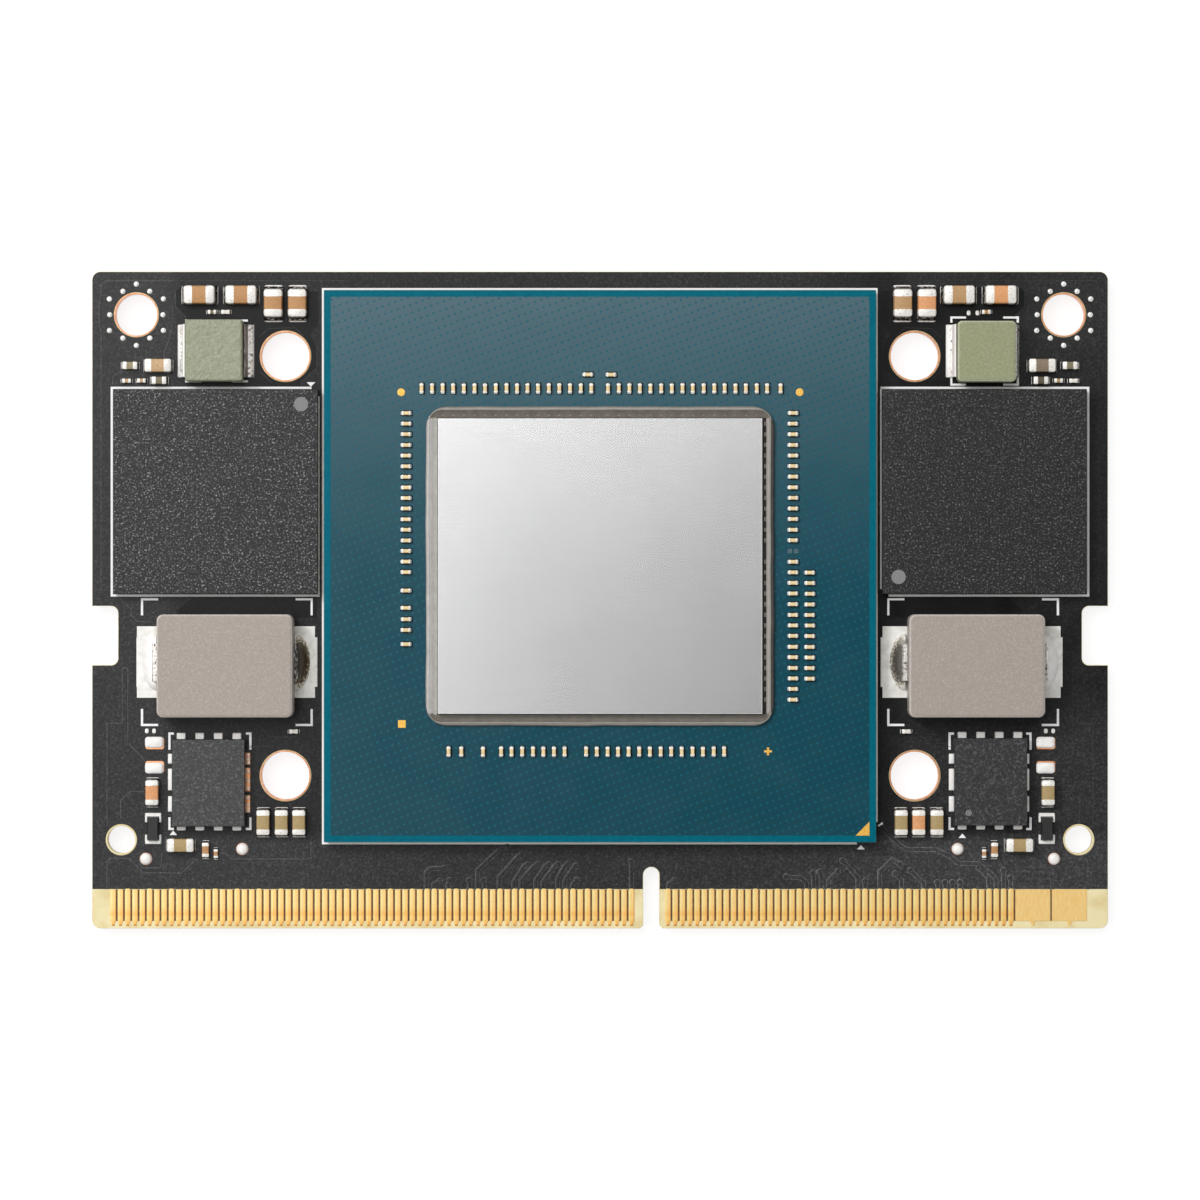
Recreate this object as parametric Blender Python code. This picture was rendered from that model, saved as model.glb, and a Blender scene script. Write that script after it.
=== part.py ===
"""A system on module: a card-edge circuit board that carries a processor package, two memory
packages and the power parts beside them.

Metres, +Z up. The component side looks up and the edge contacts point to -Y. The origin is at the
middle of the board's outline, on the plane that the parts on the underside reach down to.
"""

import math

import bmesh
import bpy
from mathutils import Matrix, Vector

# Board outline
BOARD_LENGTH = 0.0696
BOARD_WIDTH = 0.045
BOARD_THICKNESS = 0.0012
CORNER_RADIUS = 0.00057
LATCH_DEPTH = 0.00178
LATCH_TOP_FROM_EDGE = 0.02208
LATCH_HEIGHT = 0.00404
LATCH_RADIUS = 0.0005
KEY_OFFSET = 0.00351
KEY_WIDTH = 0.0011
KEY_DEPTH = 0.0042
KEY_CHAMFER = 0.00022
OUTLINE_STEPS = 5

# Gold edge contacts, the same on both faces
CONTACT_PITCH = 0.0005
CONTACT_WIDTH = 0.00039
CONTACT_LENGTH = 0.00223
CONTACT_TAIL_LENGTH = 0.00025
CONTACT_TAIL_WIDTH = 0.0002
CONTACT_SETBACK = 0.00019
CONTACT_HEIGHT = 0.000035
KEY_TO_LEFT_CONTACT = 0.00136
KEY_TO_RIGHT_CONTACT = 0.00114
LEFT_MARGIN = 0.00125
RIGHT_MARGIN = 0.00145
WIDE_CONTACTS = 2
WIDE_CONTACT_PLACES = 5

# Holes, as distances from the board's edges or from the processor package
FIXING_HOLE = 0.00285
FIXING_RIM = 0.00305
FIXING_FROM_END = 0.00304
FIXING_FROM_TOP = 0.00296
COOLER_HOLE = 0.0032
COOLER_RIM = 0.0035
COOLER_FROM_PACKAGE = 0.0027
COOLER_ABOVE_MEMORY = 0.00225
COOLER_BELOW_INDUCTOR = 0.00413
LOCATING_HOLE = 0.0019
LOCATING_FROM_END = 0.00201
LOCATING_FROM_BOTTOM = 0.00608
HOLE_STEPS = 24

# Copper, solder and the height at which parts sit above the board
COPPER_HEIGHT = 0.00003
SEAT_GAP = 0.00002
SUNK = 0.00012

# Processor package
PACKAGE_SIZE = 0.0377
PACKAGE_ABOVE_CENTRE = 0.00231
PACKAGE_THICKNESS = 0.0011
PACKAGE_STANDOFF = 0.00035
BALL_FIELD_INSET = 0.0006
DIE_LENGTH = 0.02225
DIE_WIDTH = 0.0203
DIE_THICKNESS = 0.0008
UNDERFILL_SPREAD = 0.00078
UNDERFILL_HEIGHT = 0.0005
UNDERFILL_RADIUS = 0.00115
UNDERFILL_TROUGH = 0.00012

# Chip capacitors on the processor package
CHIP_PITCH = 0.000727
CHIP_LENGTH = 0.00078
CHIP_WIDTH = 0.00033
CHIP_HEIGHT = 0.00032
CHIP_END = 0.0002
CHIP_DIP = 0.00003
ROW_OVER_LEFT_CORNER = 0.00111
ROW_OVER_RIGHT_CORNER = 0.00034
ROW_LEFT_START = -0.0006
ROW_RIGHT_START = 0.00055
LAST_IN_ROW = 0.00125
PAIR_PLACES = (-0.00084, 0.00076)
LOWER_LEFT_START = -0.00242
LOWER_LEFT_END = 0.00434
LOWER_SINGLES = (0.0031, 0.00162, 0.00075)
LOWER_RIGHT_START = -0.00094
LOWER_RIGHT_END = 0.0026
COLUMN_OVER_CORNER = 0.00035
LEFT_COLUMN_START = -0.00041
LEFT_SINGLES = (-0.00165, -0.00286, -0.00364, -0.00437, -0.00534)
RIGHT_COLUMN_UPPER_START = 0.00177
RIGHT_COLUMN_LOWER_START = 0.00031
RIGHT_COLUMN_END = 0.001
FAR_COLUMN_START = -0.00043
FAR_COLUMN_END = 0.00244
ROW_ABOVE_DIE = 0.00204
PAIR_ABOVE_DIE = 0.00299
ROW_BELOW_DIE = 0.00255
COLUMN_LEFT_OF_DIE = 0.00216
COLUMN_RIGHT_OF_DIE = 0.0021
COLUMN_FAR_RIGHT_OF_DIE = 0.00325

# Gold placing marks on the processor package
MARK_HEIGHT = 0.00002
MARK_ROUND = 0.00052
MARK_STEPS = 12
MARK_CROSS = 0.00054
MARK_CROSS_ARM = 0.00018
MARK_CORNER = 0.00095
MARK_CORNER_INSET = 0.00046
MARK_BESIDE_DIE = 0.0026
MARK_ABOVE_DIE = 0.00176
MARK_BELOW_DIE = 0.00062
CROSS_FROM_DIE_CORNER = (0.00034, 0.00249)

# Memory packages
MEMORY_SIZE = 0.014
MEMORY_GAP = 0.00053
MEMORY_ABOVE_PACKAGE = 0.00514
MEMORY_THICKNESS = 0.00078
MEMORY_STANDOFF = 0.00025
MEMORY_EDGE = 0.00006
DIMPLE_SIZE = 0.00095
DIMPLE_INSET = 0.00105
DIMPLE_DEPTH = 0.00003

# Power inductors
INDUCTOR_LENGTH = 0.0094
INDUCTOR_WIDTH = 0.007
INDUCTOR_HEIGHT = 0.0028
INDUCTOR_RADIUS = 0.00042
INDUCTOR_ROUND = 0.00018
INDUCTOR_GAP = 0.00055
INDUCTOR_BELOW_MEMORY = 0.00135
LEAD_WIDTH = 0.0026
LEAD_THICKNESS = 0.00025
LEAD_HEIGHT = 0.0013
LAND_REACH = 0.0014
LAND_WIDTH = 0.0049
LAND_TAB = 0.00012
LAND_TAB_WIDTH = 0.0034
MOUND_REACH = 0.00105
MOUND_WIDTH = 0.0039
MOUND_HEIGHT = 0.0006
MOUND_STEPS = 8

# Small chokes
CHOKE_LENGTH = 0.004
CHOKE_WIDTH = 0.0042
CHOKE_HEIGHT = 0.0019
CHOKE_RADIUS = 0.0003
CHOKE_ROUND = 0.00012
CHOKE_SHIFT = -0.00003
CHOKE_ABOVE_MEMORY = 0.0005
CLIP_WIDTH = 0.0036
CLIP_THICKNESS = 0.00015
CLIP_HEIGHT = 0.0012
CLIP_REACH = 0.0006

# Power stages
STAGE_LENGTH = 0.005
STAGE_WIDTH = 0.006
STAGE_THICKNESS = 0.00095
STAGE_SHIFT = 0.00039
STAGE_BELOW_INDUCTOR = 0.0016
STAGE_LEADS = 4
STAGE_LEAD_PITCH = 0.00127
STAGE_LEAD_WIDTH = 0.00066
STAGE_LEAD_HEIGHT = 0.00025
STAGE_TOP_REACH = 0.00045
STAGE_BOTTOM_REACH = 0.0003
STAGE_SIDE_REACH = 0.00025

# Loose chip parts: length, width, height and the length of each metal end
CHIP_SIZES = {
    "large": (0.00205, 0.00125, 0.0012, 0.00045),
    "medium": (0.00165, 0.00086, 0.00082, 0.00036),
    "small": (0.001, 0.0005, 0.0005, 0.00026),
    "tiny": (0.0006, 0.0003, 0.0003, 0.00017),
    "diode": (0.0016, 0.00076, 0.0006, 0.0001),
}
CHIP_LIP = 0.00002

# Decoupling capacitors on the underside, below the processor package
UNDER_COLUMNS = 8
UNDER_ROWS = 4
UNDER_COLUMN_PITCH = 0.0026
UNDER_ROW_PITCH = 0.0036
UNDER_CHIP_LENGTH = 0.001
UNDER_CHIP_WIDTH = 0.0005
UNDER_CHIP_HEIGHT = 0.00055

# Bare solder lands and test points
LAND_PAIR = (0.0013, 0.0008)
LAND_PAIR_OFFSET = 0.00125
LAND_PAIR_RISES = (0.00272, 0.00103)
TEST_POINT = 0.00087
TEST_POINT_CROWN = 0.00045
TEST_POINT_HEIGHT = 0.00028
TEST_POINT_STEPS = 10
TEST_POINT_OUTER = (0.00179, 0.00223)
TEST_POINT_INNER = (0.00227, 0.00155)
EMPTY_PAD = (0.0003, 0.00035)
EMPTY_PAD_OFFSETS = (0.00127, 0.00177)
EMPTY_PAD_BELOW_INDUCTOR = 0.00107
TOP_PAD_OFFSETS = (-0.00104, -0.00053)
DIODE_OFFSET = 0.00133
DIODE_DROP = 0.00315
DIODE_LAND = (0.0011, 0.0004)
DIODE_LAND_REACH = 0.0001

# Places worked out from the sizes above
HALF_LENGTH = BOARD_LENGTH / 2
HALF_WIDTH = BOARD_WIDTH / 2
BOARD_BOTTOM = UNDER_CHIP_HEIGHT
BOARD_TOP = BOARD_BOTTOM + BOARD_THICKNESS
SEAT = BOARD_TOP + COPPER_HEIGHT + SEAT_GAP
PACKAGE_EDGE = PACKAGE_SIZE / 2
PACKAGE_Y = PACKAGE_ABOVE_CENTRE
MEMORY_X = PACKAGE_EDGE + MEMORY_GAP + MEMORY_SIZE / 2
MEMORY_Y = PACKAGE_Y + MEMORY_ABOVE_PACKAGE
MEMORY_TOP = MEMORY_Y + MEMORY_SIZE / 2
MEMORY_BOTTOM = MEMORY_Y - MEMORY_SIZE / 2
INDUCTOR_X = PACKAGE_EDGE + INDUCTOR_GAP + LAND_TAB + LAND_REACH + INDUCTOR_LENGTH / 2
INDUCTOR_Y = MEMORY_BOTTOM - INDUCTOR_BELOW_MEMORY - INDUCTOR_WIDTH / 2
INDUCTOR_BOTTOM = INDUCTOR_Y - INDUCTOR_WIDTH / 2
CHOKE_X = MEMORY_X + CHOKE_SHIFT
CHOKE_Y = MEMORY_TOP + CHOKE_ABOVE_MEMORY + CHOKE_WIDTH / 2
CHOKE_END = CHOKE_X + CHOKE_LENGTH / 2 + CLIP_REACH
CHOKE_TOP = CHOKE_Y + CHOKE_WIDTH / 2
STAGE_X = MEMORY_X + STAGE_SHIFT
STAGE_Y = INDUCTOR_BOTTOM - STAGE_BELOW_INDUCTOR - STAGE_WIDTH / 2
STAGE_EDGE = STAGE_X + STAGE_LENGTH / 2
STAGE_BOTTOM = STAGE_Y - STAGE_WIDTH / 2
KEY_X = KEY_OFFSET
CONTACT_END = -HALF_WIDTH + CONTACT_SETBACK
CONTACT_SHOULDER = CONTACT_END + CONTACT_TAIL_LENGTH
CONTACT_TOP = CONTACT_SHOULDER + CONTACT_LENGTH
SIDES = (("left", -1), ("right", 1))

# Rows and columns of chip capacitors on the processor package, from its middle
ROW_TOP = DIE_WIDTH / 2 + ROW_ABOVE_DIE
PAIR_TOP = DIE_WIDTH / 2 + PAIR_ABOVE_DIE
ROW_BOTTOM = -DIE_WIDTH / 2 - ROW_BELOW_DIE
COLUMN_LEFT = -DIE_LENGTH / 2 - COLUMN_LEFT_OF_DIE
COLUMN_RIGHT = DIE_LENGTH / 2 + COLUMN_RIGHT_OF_DIE
COLUMN_FAR_RIGHT = DIE_LENGTH / 2 + COLUMN_FAR_RIGHT_OF_DIE

# Loose chips on each side: name, size, distance from the middle, height on the board, upright
SIDE_CHIPS = (
    ("top_capacitor_outer", "large", CHOKE_X + 0.00105, CHOKE_TOP + 0.00172, False),
    ("top_capacitor_inner", "large", CHOKE_X - 0.0018, CHOKE_TOP + 0.00172, False),
    ("upright_capacitor_outer", "large", CHOKE_X - 0.004, CHOKE_TOP + 0.00115, True),
    ("upright_capacitor_inner", "large", CHOKE_X - 0.00565, CHOKE_TOP + 0.00115, True),
    ("memory_filter", "medium", CHOKE_END + 0.0013, MEMORY_TOP + 0.0016, False),
    ("memory_resistor_upper", "small", CHOKE_END + 0.00322, MEMORY_TOP + 0.0016, False),
    ("memory_resistor_lower", "small", CHOKE_END + 0.00123, MEMORY_TOP + 0.00058, False),
    ("memory_bypass_inner", "tiny", CHOKE_END + 0.00244, MEMORY_TOP + 0.00057, False),
    ("memory_bypass_outer", "tiny", CHOKE_END + 0.00346, MEMORY_TOP + 0.00056, False),
    ("stage_capacitor", "medium", STAGE_EDGE + 0.00138, STAGE_Y - 0.00068, True),
    ("stage_diode", "diode", STAGE_EDGE + DIODE_OFFSET, STAGE_Y - DIODE_DROP, True),
    ("gate_capacitor", "medium", STAGE_X + 0.00193, STAGE_BOTTOM - 0.00128, False),
    ("gate_resistor", "small", STAGE_X + 0.00023, STAGE_BOTTOM - 0.0016, True),
    ("gate_bypass", "tiny", STAGE_X - 0.00047, STAGE_BOTTOM - 0.00186, True),
    ("bulk_capacitor_outer", "medium", PACKAGE_EDGE + 0.0042, STAGE_Y - 0.00272, True),
    ("bulk_capacitor_middle", "medium", PACKAGE_EDGE + 0.00295, STAGE_Y - 0.00272, True),
    ("bulk_capacitor_inner", "medium", PACKAGE_EDGE + 0.00175, STAGE_Y - 0.00272, True),
    ("sense_bypass", "tiny", PACKAGE_EDGE + 0.00212, INDUCTOR_BOTTOM - 0.0011, False),
)
TOP_BYPASS_Y = CHOKE_TOP + 0.00057
TOP_BYPASSES = (
    ("top_bypass_outer_left", -CHOKE_X - 0.00021),
    ("top_bypass_inner_left", -CHOKE_X + 0.00071),
    ("top_bypass_right", CHOKE_X + 0.0001),
)


def clear_scene():
    for obj in list(bpy.data.objects):
        bpy.data.objects.remove(obj)


def material(name, colour, roughness, metallic=0.0):
    made = bpy.data.materials.new(name)
    made.use_nodes = True
    shader = made.node_tree.nodes["Principled BSDF"]
    shader.inputs["Base Color"].default_value = (*colour, 1.0)
    shader.inputs["Roughness"].default_value = roughness
    shader.inputs["Metallic"].default_value = metallic
    return made


def arc(centre, radius, start, end, steps):
    """Points round a centre, from one angle in degrees to another."""
    points = []
    for step in range(steps + 1):
        angle = math.radians(start + (end - start) * step / steps)
        points.append(
            (centre[0] + radius * math.cos(angle), centre[1] + radius * math.sin(angle))
        )
    return points


def circle(centre, diameter, steps):
    return arc(centre, diameter / 2, 0, 360, steps)[:-1]


def rectangle(centre, length, width):
    x, y = centre
    return [
        (x - length / 2, y - width / 2),
        (x + length / 2, y - width / 2),
        (x + length / 2, y + width / 2),
        (x - length / 2, y + width / 2),
    ]


def rounded_rectangle(length, width, radius, steps):
    x = length / 2 - radius
    y = width / 2 - radius
    return (
        arc((x, -y), radius, -90, 0, steps)
        + arc((x, y), radius, 0, 90, steps)
        + arc((-x, y), radius, 90, 180, steps)
        + arc((-x, -y), radius, 180, 270, steps)
    )


def ring(outline, height):
    return [(x, y, height) for x, y in outline]


def add_loft(mesh, rings, slot=0, capped=True):
    """A skin through rings with as many points each. Capped ends close it; otherwise the last
    ring joins the first, as round a frame."""
    levels = [[mesh.verts.new(point) for point in points] for points in rings]
    pairs = list(zip(levels, levels[1:]))
    faces = []
    if capped:
        faces += [mesh.faces.new(levels[0][::-1]), mesh.faces.new(levels[-1])]
    else:
        pairs.append((levels[-1], levels[0]))
    count = len(levels[0])
    for lower, upper in pairs:
        for i in range(count):
            j = (i + 1) % count
            faces.append(mesh.faces.new((lower[i], lower[j], upper[j], upper[i])))
    for face in faces:
        face.material_index = slot
    return faces


def add_prism(mesh, outline, bottom, top, slot=0):
    return add_loft(mesh, [ring(outline, bottom), ring(outline, top)], slot)


def add_saddle(mesh, place, size, base, crown, end, dip, upright=False, metal=0, ceramic=0):
    """A chip part fused to its carrier: metal ends a little taller than the ceramic between."""
    length, width = size
    half = length / 2
    lowered = crown - dip if crown > base else crown + dip
    profile = [
        (-half, base),
        (half, base),
        (half, crown),
        (half - end, crown),
        (half - end, lowered),
        (end - half, lowered),
        (end - half, crown),
        (-half, crown),
    ]
    turn = Matrix.Rotation(math.radians(90 if upright else 0), 3, "Z")
    sides = []
    for across in (width / 2, -width / 2):
        points = [turn @ Vector((x, across, z)) for x, z in profile]
        sides.append([(p.x + place[0], p.y + place[1], p.z) for p in points])
    faces = add_loft(mesh, sides, metal)
    for face in faces:
        middle = face.calc_center_median()
        if abs(middle.z - lowered) < abs(dip) / 4:
            face.material_index = ceramic


def make_object(name, mesh, materials, parent=None, location=(0.0, 0.0, 0.0), turn=0.0):
    """A mesh object with outward normals, rounded faces shaded smooth."""
    bmesh.ops.recalc_face_normals(mesh, faces=mesh.faces)
    data = bpy.data.meshes.new(name)
    mesh.to_mesh(data)
    mesh.free()
    data.shade_smooth()
    data.set_sharp_from_angle(angle=math.radians(35))
    for each in materials:
        data.materials.append(each)
    obj = bpy.data.objects.new(name, data)
    obj.location = location
    obj.rotation_euler = (0.0, 0.0, turn)
    obj.parent = parent
    bpy.context.scene.collection.objects.link(obj)
    return obj


def make_helper(name, mesh, materials):
    """A shape that only joins or cuts another."""
    obj = make_object(name, mesh, materials)
    obj.hide_render = True
    obj.display_type = "WIRE"
    return obj


def combine(obj, helper, operation):
    modifier = obj.modifiers.new(helper.name, "BOOLEAN")
    modifier.operation = operation
    modifier.solver = "EXACT"
    modifier.object = helper


def board_outline():
    """Counter-clockwise from the key notch, with the latch notches in both ends."""
    end = HALF_LENGTH
    bottom = -HALF_WIDTH
    latch_top = -HALF_WIDTH + LATCH_TOP_FROM_EDGE - LATCH_RADIUS
    latch_bottom = -HALF_WIDTH + LATCH_TOP_FROM_EDGE - LATCH_HEIGHT + LATCH_RADIUS
    latch_x = end - LATCH_DEPTH + LATCH_RADIUS
    corner_x = end - CORNER_RADIUS
    corner_y = HALF_WIDTH - CORNER_RADIUS
    key = KEY_WIDTH / 2
    points = [
        (KEY_X - key - KEY_CHAMFER, bottom),
        (KEY_X - key, bottom + KEY_CHAMFER),
        *arc((KEY_X, bottom + KEY_DEPTH - key), key, 180, 0, 2 * OUTLINE_STEPS),
        (KEY_X + key, bottom + KEY_CHAMFER),
        (KEY_X + key + KEY_CHAMFER, bottom),
        *arc((corner_x, -corner_y), CORNER_RADIUS, -90, 0, OUTLINE_STEPS),
        (end, latch_bottom - LATCH_RADIUS),
        *arc((latch_x, latch_bottom), LATCH_RADIUS, 270, 180, OUTLINE_STEPS),
        *arc((latch_x, latch_top), LATCH_RADIUS, 180, 90, OUTLINE_STEPS),
        (end, latch_top + LATCH_RADIUS),
        *arc((corner_x, corner_y), CORNER_RADIUS, 0, 90, OUTLINE_STEPS),
        *arc((-corner_x, corner_y), CORNER_RADIUS, 90, 180, OUTLINE_STEPS),
        (-end, latch_top + LATCH_RADIUS),
        *arc((-latch_x, latch_top), LATCH_RADIUS, 90, 0, OUTLINE_STEPS),
        *arc((-latch_x, latch_bottom), LATCH_RADIUS, 0, -90, OUTLINE_STEPS),
        (-end, latch_bottom - LATCH_RADIUS),
        *arc((-corner_x, -corner_y), CORNER_RADIUS, 180, 270, OUTLINE_STEPS),
    ]
    return points


def contact_outline(x, width):
    """One finger: a wide body with a short plating tail towards the board's edge."""
    tail = CONTACT_TAIL_WIDTH / 2
    return [
        (x - tail, CONTACT_END),
        (x + tail, CONTACT_END),
        (x + width / 2, CONTACT_SHOULDER),
        (x + width / 2, CONTACT_TOP),
        (x - width / 2, CONTACT_TOP),
        (x - width / 2, CONTACT_SHOULDER),
    ]


def contact_places():
    """Centre and width of each finger. The fine ones run away from the key notch on both
    sides, and the wide ones take the last places on the right."""
    clear = CONTACT_PITCH - CONTACT_WIDTH
    wide_place = WIDE_CONTACT_PLACES * CONTACT_PITCH
    right_limit = HALF_LENGTH - RIGHT_MARGIN
    fine_limit = right_limit - WIDE_CONTACTS * wide_place
    places = []
    x = KEY_X - KEY_TO_LEFT_CONTACT
    while x - CONTACT_WIDTH / 2 > -HALF_LENGTH + LEFT_MARGIN:
        places.append((x, CONTACT_WIDTH))
        x -= CONTACT_PITCH
    x = KEY_X + KEY_TO_RIGHT_CONTACT
    while x + CONTACT_WIDTH / 2 < fine_limit + clear / 2:
        places.append((x, CONTACT_WIDTH))
        x += CONTACT_PITCH
    start = x - CONTACT_PITCH / 2
    for number in range(WIDE_CONTACTS):
        places.append((start + (number + 0.5) * wide_place, wide_place - clear))
    return places


def hole_places():
    """Centre, bore and rim of every hole, on both sides of the middle. No rim means bare."""
    places = []
    for _, side in SIDES:
        fixing = (side * (HALF_LENGTH - FIXING_FROM_END), HALF_WIDTH - FIXING_FROM_TOP)
        cooler_x = side * (PACKAGE_EDGE + COOLER_FROM_PACKAGE)
        upper = (cooler_x, MEMORY_TOP + COOLER_ABOVE_MEMORY)
        lower = (cooler_x, INDUCTOR_BOTTOM - COOLER_BELOW_INDUCTOR)
        locating = (side * (HALF_LENGTH - LOCATING_FROM_END), LOCATING_FROM_BOTTOM - HALF_WIDTH)
        places.append((fixing, FIXING_HOLE, FIXING_RIM))
        places.append((upper, COOLER_HOLE, COOLER_RIM))
        places.append((lower, COOLER_HOLE, COOLER_RIM))
        places.append((locating, LOCATING_HOLE, 0.0))
    return places


def inductor_land(side, end):
    """The tinned land under one lead, with its wider tab at the far edge. side is the side of
    the board and end is 1 for the lead away from the middle."""
    x = side * INDUCTOR_X
    inner = INDUCTOR_LENGTH / 2 - LEAD_THICKNESS
    outer = INDUCTOR_LENGTH / 2 + LAND_REACH
    half = LAND_WIDTH / 2
    tab = LAND_TAB_WIDTH / 2
    points = [
        (inner, -half),
        (outer, -half),
        (outer, -tab),
        (outer + LAND_TAB, -tab),
        (outer + LAND_TAB, tab),
        (outer, tab),
        (outer, half),
        (inner, half),
    ]
    return [(x + side * end * px, INDUCTOR_Y + py) for px, py in points]


def add_lands(mesh, copper, solder):
    """Tinned lands that show beside the parts, bare lands and empty pads."""
    bottom = BOARD_TOP - SUNK
    top = BOARD_TOP + COPPER_HEIGHT
    pads = []
    for _, side in SIDES:
        for end in (-1, 1):
            add_prism(mesh, inductor_land(side, end), bottom, top, solder)
            clip_x = side * CHOKE_X + end * (CHOKE_LENGTH / 2 + CLIP_REACH / 2)
            pads.append(((clip_x, CHOKE_Y), (CLIP_REACH, CLIP_WIDTH), solder))
            reach = CHIP_SIZES["diode"][0] / 2 + DIODE_LAND_REACH
            diode = (side * (STAGE_EDGE + DIODE_OFFSET), STAGE_Y - DIODE_DROP + end * reach)
            pads.append((diode, DIODE_LAND, solder))
        for rise in LAND_PAIR_RISES:
            place = (side * (STAGE_EDGE + LAND_PAIR_OFFSET), STAGE_Y + rise)
            pads.append((place, LAND_PAIR, solder))
        for offset in EMPTY_PAD_OFFSETS:
            place = (side * (STAGE_EDGE + offset), INDUCTOR_BOTTOM - EMPTY_PAD_BELOW_INDUCTOR)
            pads.append((place, EMPTY_PAD, copper))
    for offset in TOP_PAD_OFFSETS:
        pads.append(((CHOKE_X + offset, TOP_BYPASS_Y), EMPTY_PAD, copper))
    for place, size, slot in pads:
        add_prism(mesh, rectangle(place, *size), bottom, top, slot)


def add_test_points(mesh, slot):
    """Round lands with a low dome of solder."""
    levels = (
        (TEST_POINT, BOARD_TOP - SUNK),
        (TEST_POINT, BOARD_TOP + COPPER_HEIGHT),
        (TEST_POINT_CROWN, BOARD_TOP + TEST_POINT_HEIGHT),
    )
    for _, side in SIDES:
        outer = (side * (STAGE_EDGE + TEST_POINT_OUTER[0]), STAGE_BOTTOM - TEST_POINT_OUTER[1])
        inner = (side * (STAGE_X - TEST_POINT_INNER[0]), STAGE_BOTTOM - TEST_POINT_INNER[1])
        for place in (outer, inner):
            rings = [
                ring(circle(place, size, TEST_POINT_STEPS), height) for size, height in levels
            ]
            add_loft(mesh, rings, slot)


def add_contacts(mesh, slot):
    """Fingers on the component side, and plainer ones behind them on the underside."""
    middle = (CONTACT_TOP + CONTACT_SHOULDER) / 2
    length = CONTACT_TOP - CONTACT_SHOULDER
    for x, width in contact_places():
        outline = contact_outline(x, width)
        add_prism(mesh, outline, BOARD_TOP - SUNK, BOARD_TOP + CONTACT_HEIGHT, slot)
        plain = rectangle((x, middle), width, length)
        add_prism(mesh, plain, BOARD_BOTTOM - CONTACT_HEIGHT, BOARD_BOTTOM + SUNK, slot)


def add_rims(mesh, slot):
    """Copper discs that the holes are then bored through, which leaves their rims."""
    for centre, _, rim in hole_places():
        if rim:
            disc = circle(centre, rim, HOLE_STEPS)
            add_prism(mesh, disc, BOARD_TOP - SUNK, BOARD_TOP + COPPER_HEIGHT, slot)


def add_under_chips(mesh, slot):
    """Decoupling capacitors in columns below the processor package."""
    for column in range(UNDER_COLUMNS):
        for row in range(UNDER_ROWS):
            x = (column - (UNDER_COLUMNS - 1) / 2) * UNDER_COLUMN_PITCH
            y = PACKAGE_Y + (row - (UNDER_ROWS - 1) / 2) * UNDER_ROW_PITCH
            chip = rectangle((x, y), UNDER_CHIP_WIDTH, UNDER_CHIP_LENGTH)
            add_prism(mesh, chip, 0.0, BOARD_BOTTOM + SUNK, slot)


def make_board(parent):
    mask = material("solder_mask", (0.028, 0.028, 0.029), 0.45)
    gold = material("contact_gold", (0.9, 0.62, 0.2), 0.25, 1.0)
    copper = material("bare_copper", (0.85, 0.45, 0.28), 0.35, 1.0)
    solder = material("solder", (0.8, 0.79, 0.76), 0.3, 1.0)
    materials = [mask, gold, copper, solder]

    slab = bmesh.new()
    add_prism(slab, board_outline(), BOARD_BOTTOM, BOARD_TOP)
    board = make_object("circuit_board", slab, materials, parent)

    groups = (
        ("contacts", add_contacts, (1,)),
        ("rims", add_rims, (2,)),
        ("lands", add_lands, (2, 3)),
        ("test_points", add_test_points, (3,)),
        ("under_chips", add_under_chips, (3,)),
    )
    for name, add_group, slots in groups:
        raised = bmesh.new()
        add_group(raised, *slots)
        combine(board, make_helper(name, raised, materials), "UNION")

    bores = bmesh.new()
    for centre, bore, _ in hole_places():
        outline = circle(centre, bore, HOLE_STEPS)
        add_prism(bores, outline, BOARD_BOTTOM - BOARD_THICKNESS, BOARD_TOP + BOARD_THICKNESS)
    combine(board, make_helper("hole_cutters", bores, [mask]), "DIFFERENCE")
    return board


def run(start, end):
    """Places one chip pitch apart, from start towards end and no further."""
    count = int(abs(end - start) / CHIP_PITCH + 0.5) + 1
    step = math.copysign(CHIP_PITCH, end - start)
    return [start + number * step for number in range(count)]


def package_chip_places():
    """Where the chip capacitors stand on the processor package, from its middle, and whether
    each is upright. Rows above and below the die stand upright, and columns beside it lie."""
    side = DIE_LENGTH / 2
    corner = DIE_WIDTH / 2
    upper_row = (
        run(ROW_LEFT_START, -side - ROW_OVER_LEFT_CORNER)
        + run(ROW_RIGHT_START, side + ROW_OVER_RIGHT_CORNER)
        + [side + LAST_IN_ROW]
    )
    lower_row = (
        [single - side for single in LOWER_SINGLES]
        + run(LOWER_LEFT_START, LOWER_LEFT_END - side)
        + run(LOWER_RIGHT_START, side - LOWER_RIGHT_END)
    )
    left_column = run(LEFT_COLUMN_START, corner + COLUMN_OVER_CORNER) + list(LEFT_SINGLES)
    right_column = run(RIGHT_COLUMN_UPPER_START, corner + COLUMN_OVER_CORNER) + run(
        RIGHT_COLUMN_LOWER_START, RIGHT_COLUMN_END - corner
    )
    far_column = run(FAR_COLUMN_START, FAR_COLUMN_END - corner)
    places = [(x, ROW_TOP, True) for x in upper_row]
    places += [(x, ROW_BOTTOM, True) for x in lower_row]
    places += [(x, PAIR_TOP, False) for x in PAIR_PLACES]
    places += [(COLUMN_LEFT, y, False) for y in left_column]
    places += [(COLUMN_RIGHT, y, False) for y in right_column]
    places += [(COLUMN_FAR_RIGHT, y, False) for y in far_column]
    return places


def cross_outline(centre, reach, arm):
    """A plus sign, counter-clockwise, from half its span and half the width of its arms."""
    quarter = [(reach, -arm), (reach, arm), (arm, arm)]
    points = []
    for turn in range(4):
        spin = Matrix.Rotation(turn * math.pi / 2, 2)
        points += [spin @ Vector(point) for point in quarter]
    return [(centre[0] + point.x, centre[1] + point.y) for point in points]


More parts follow.
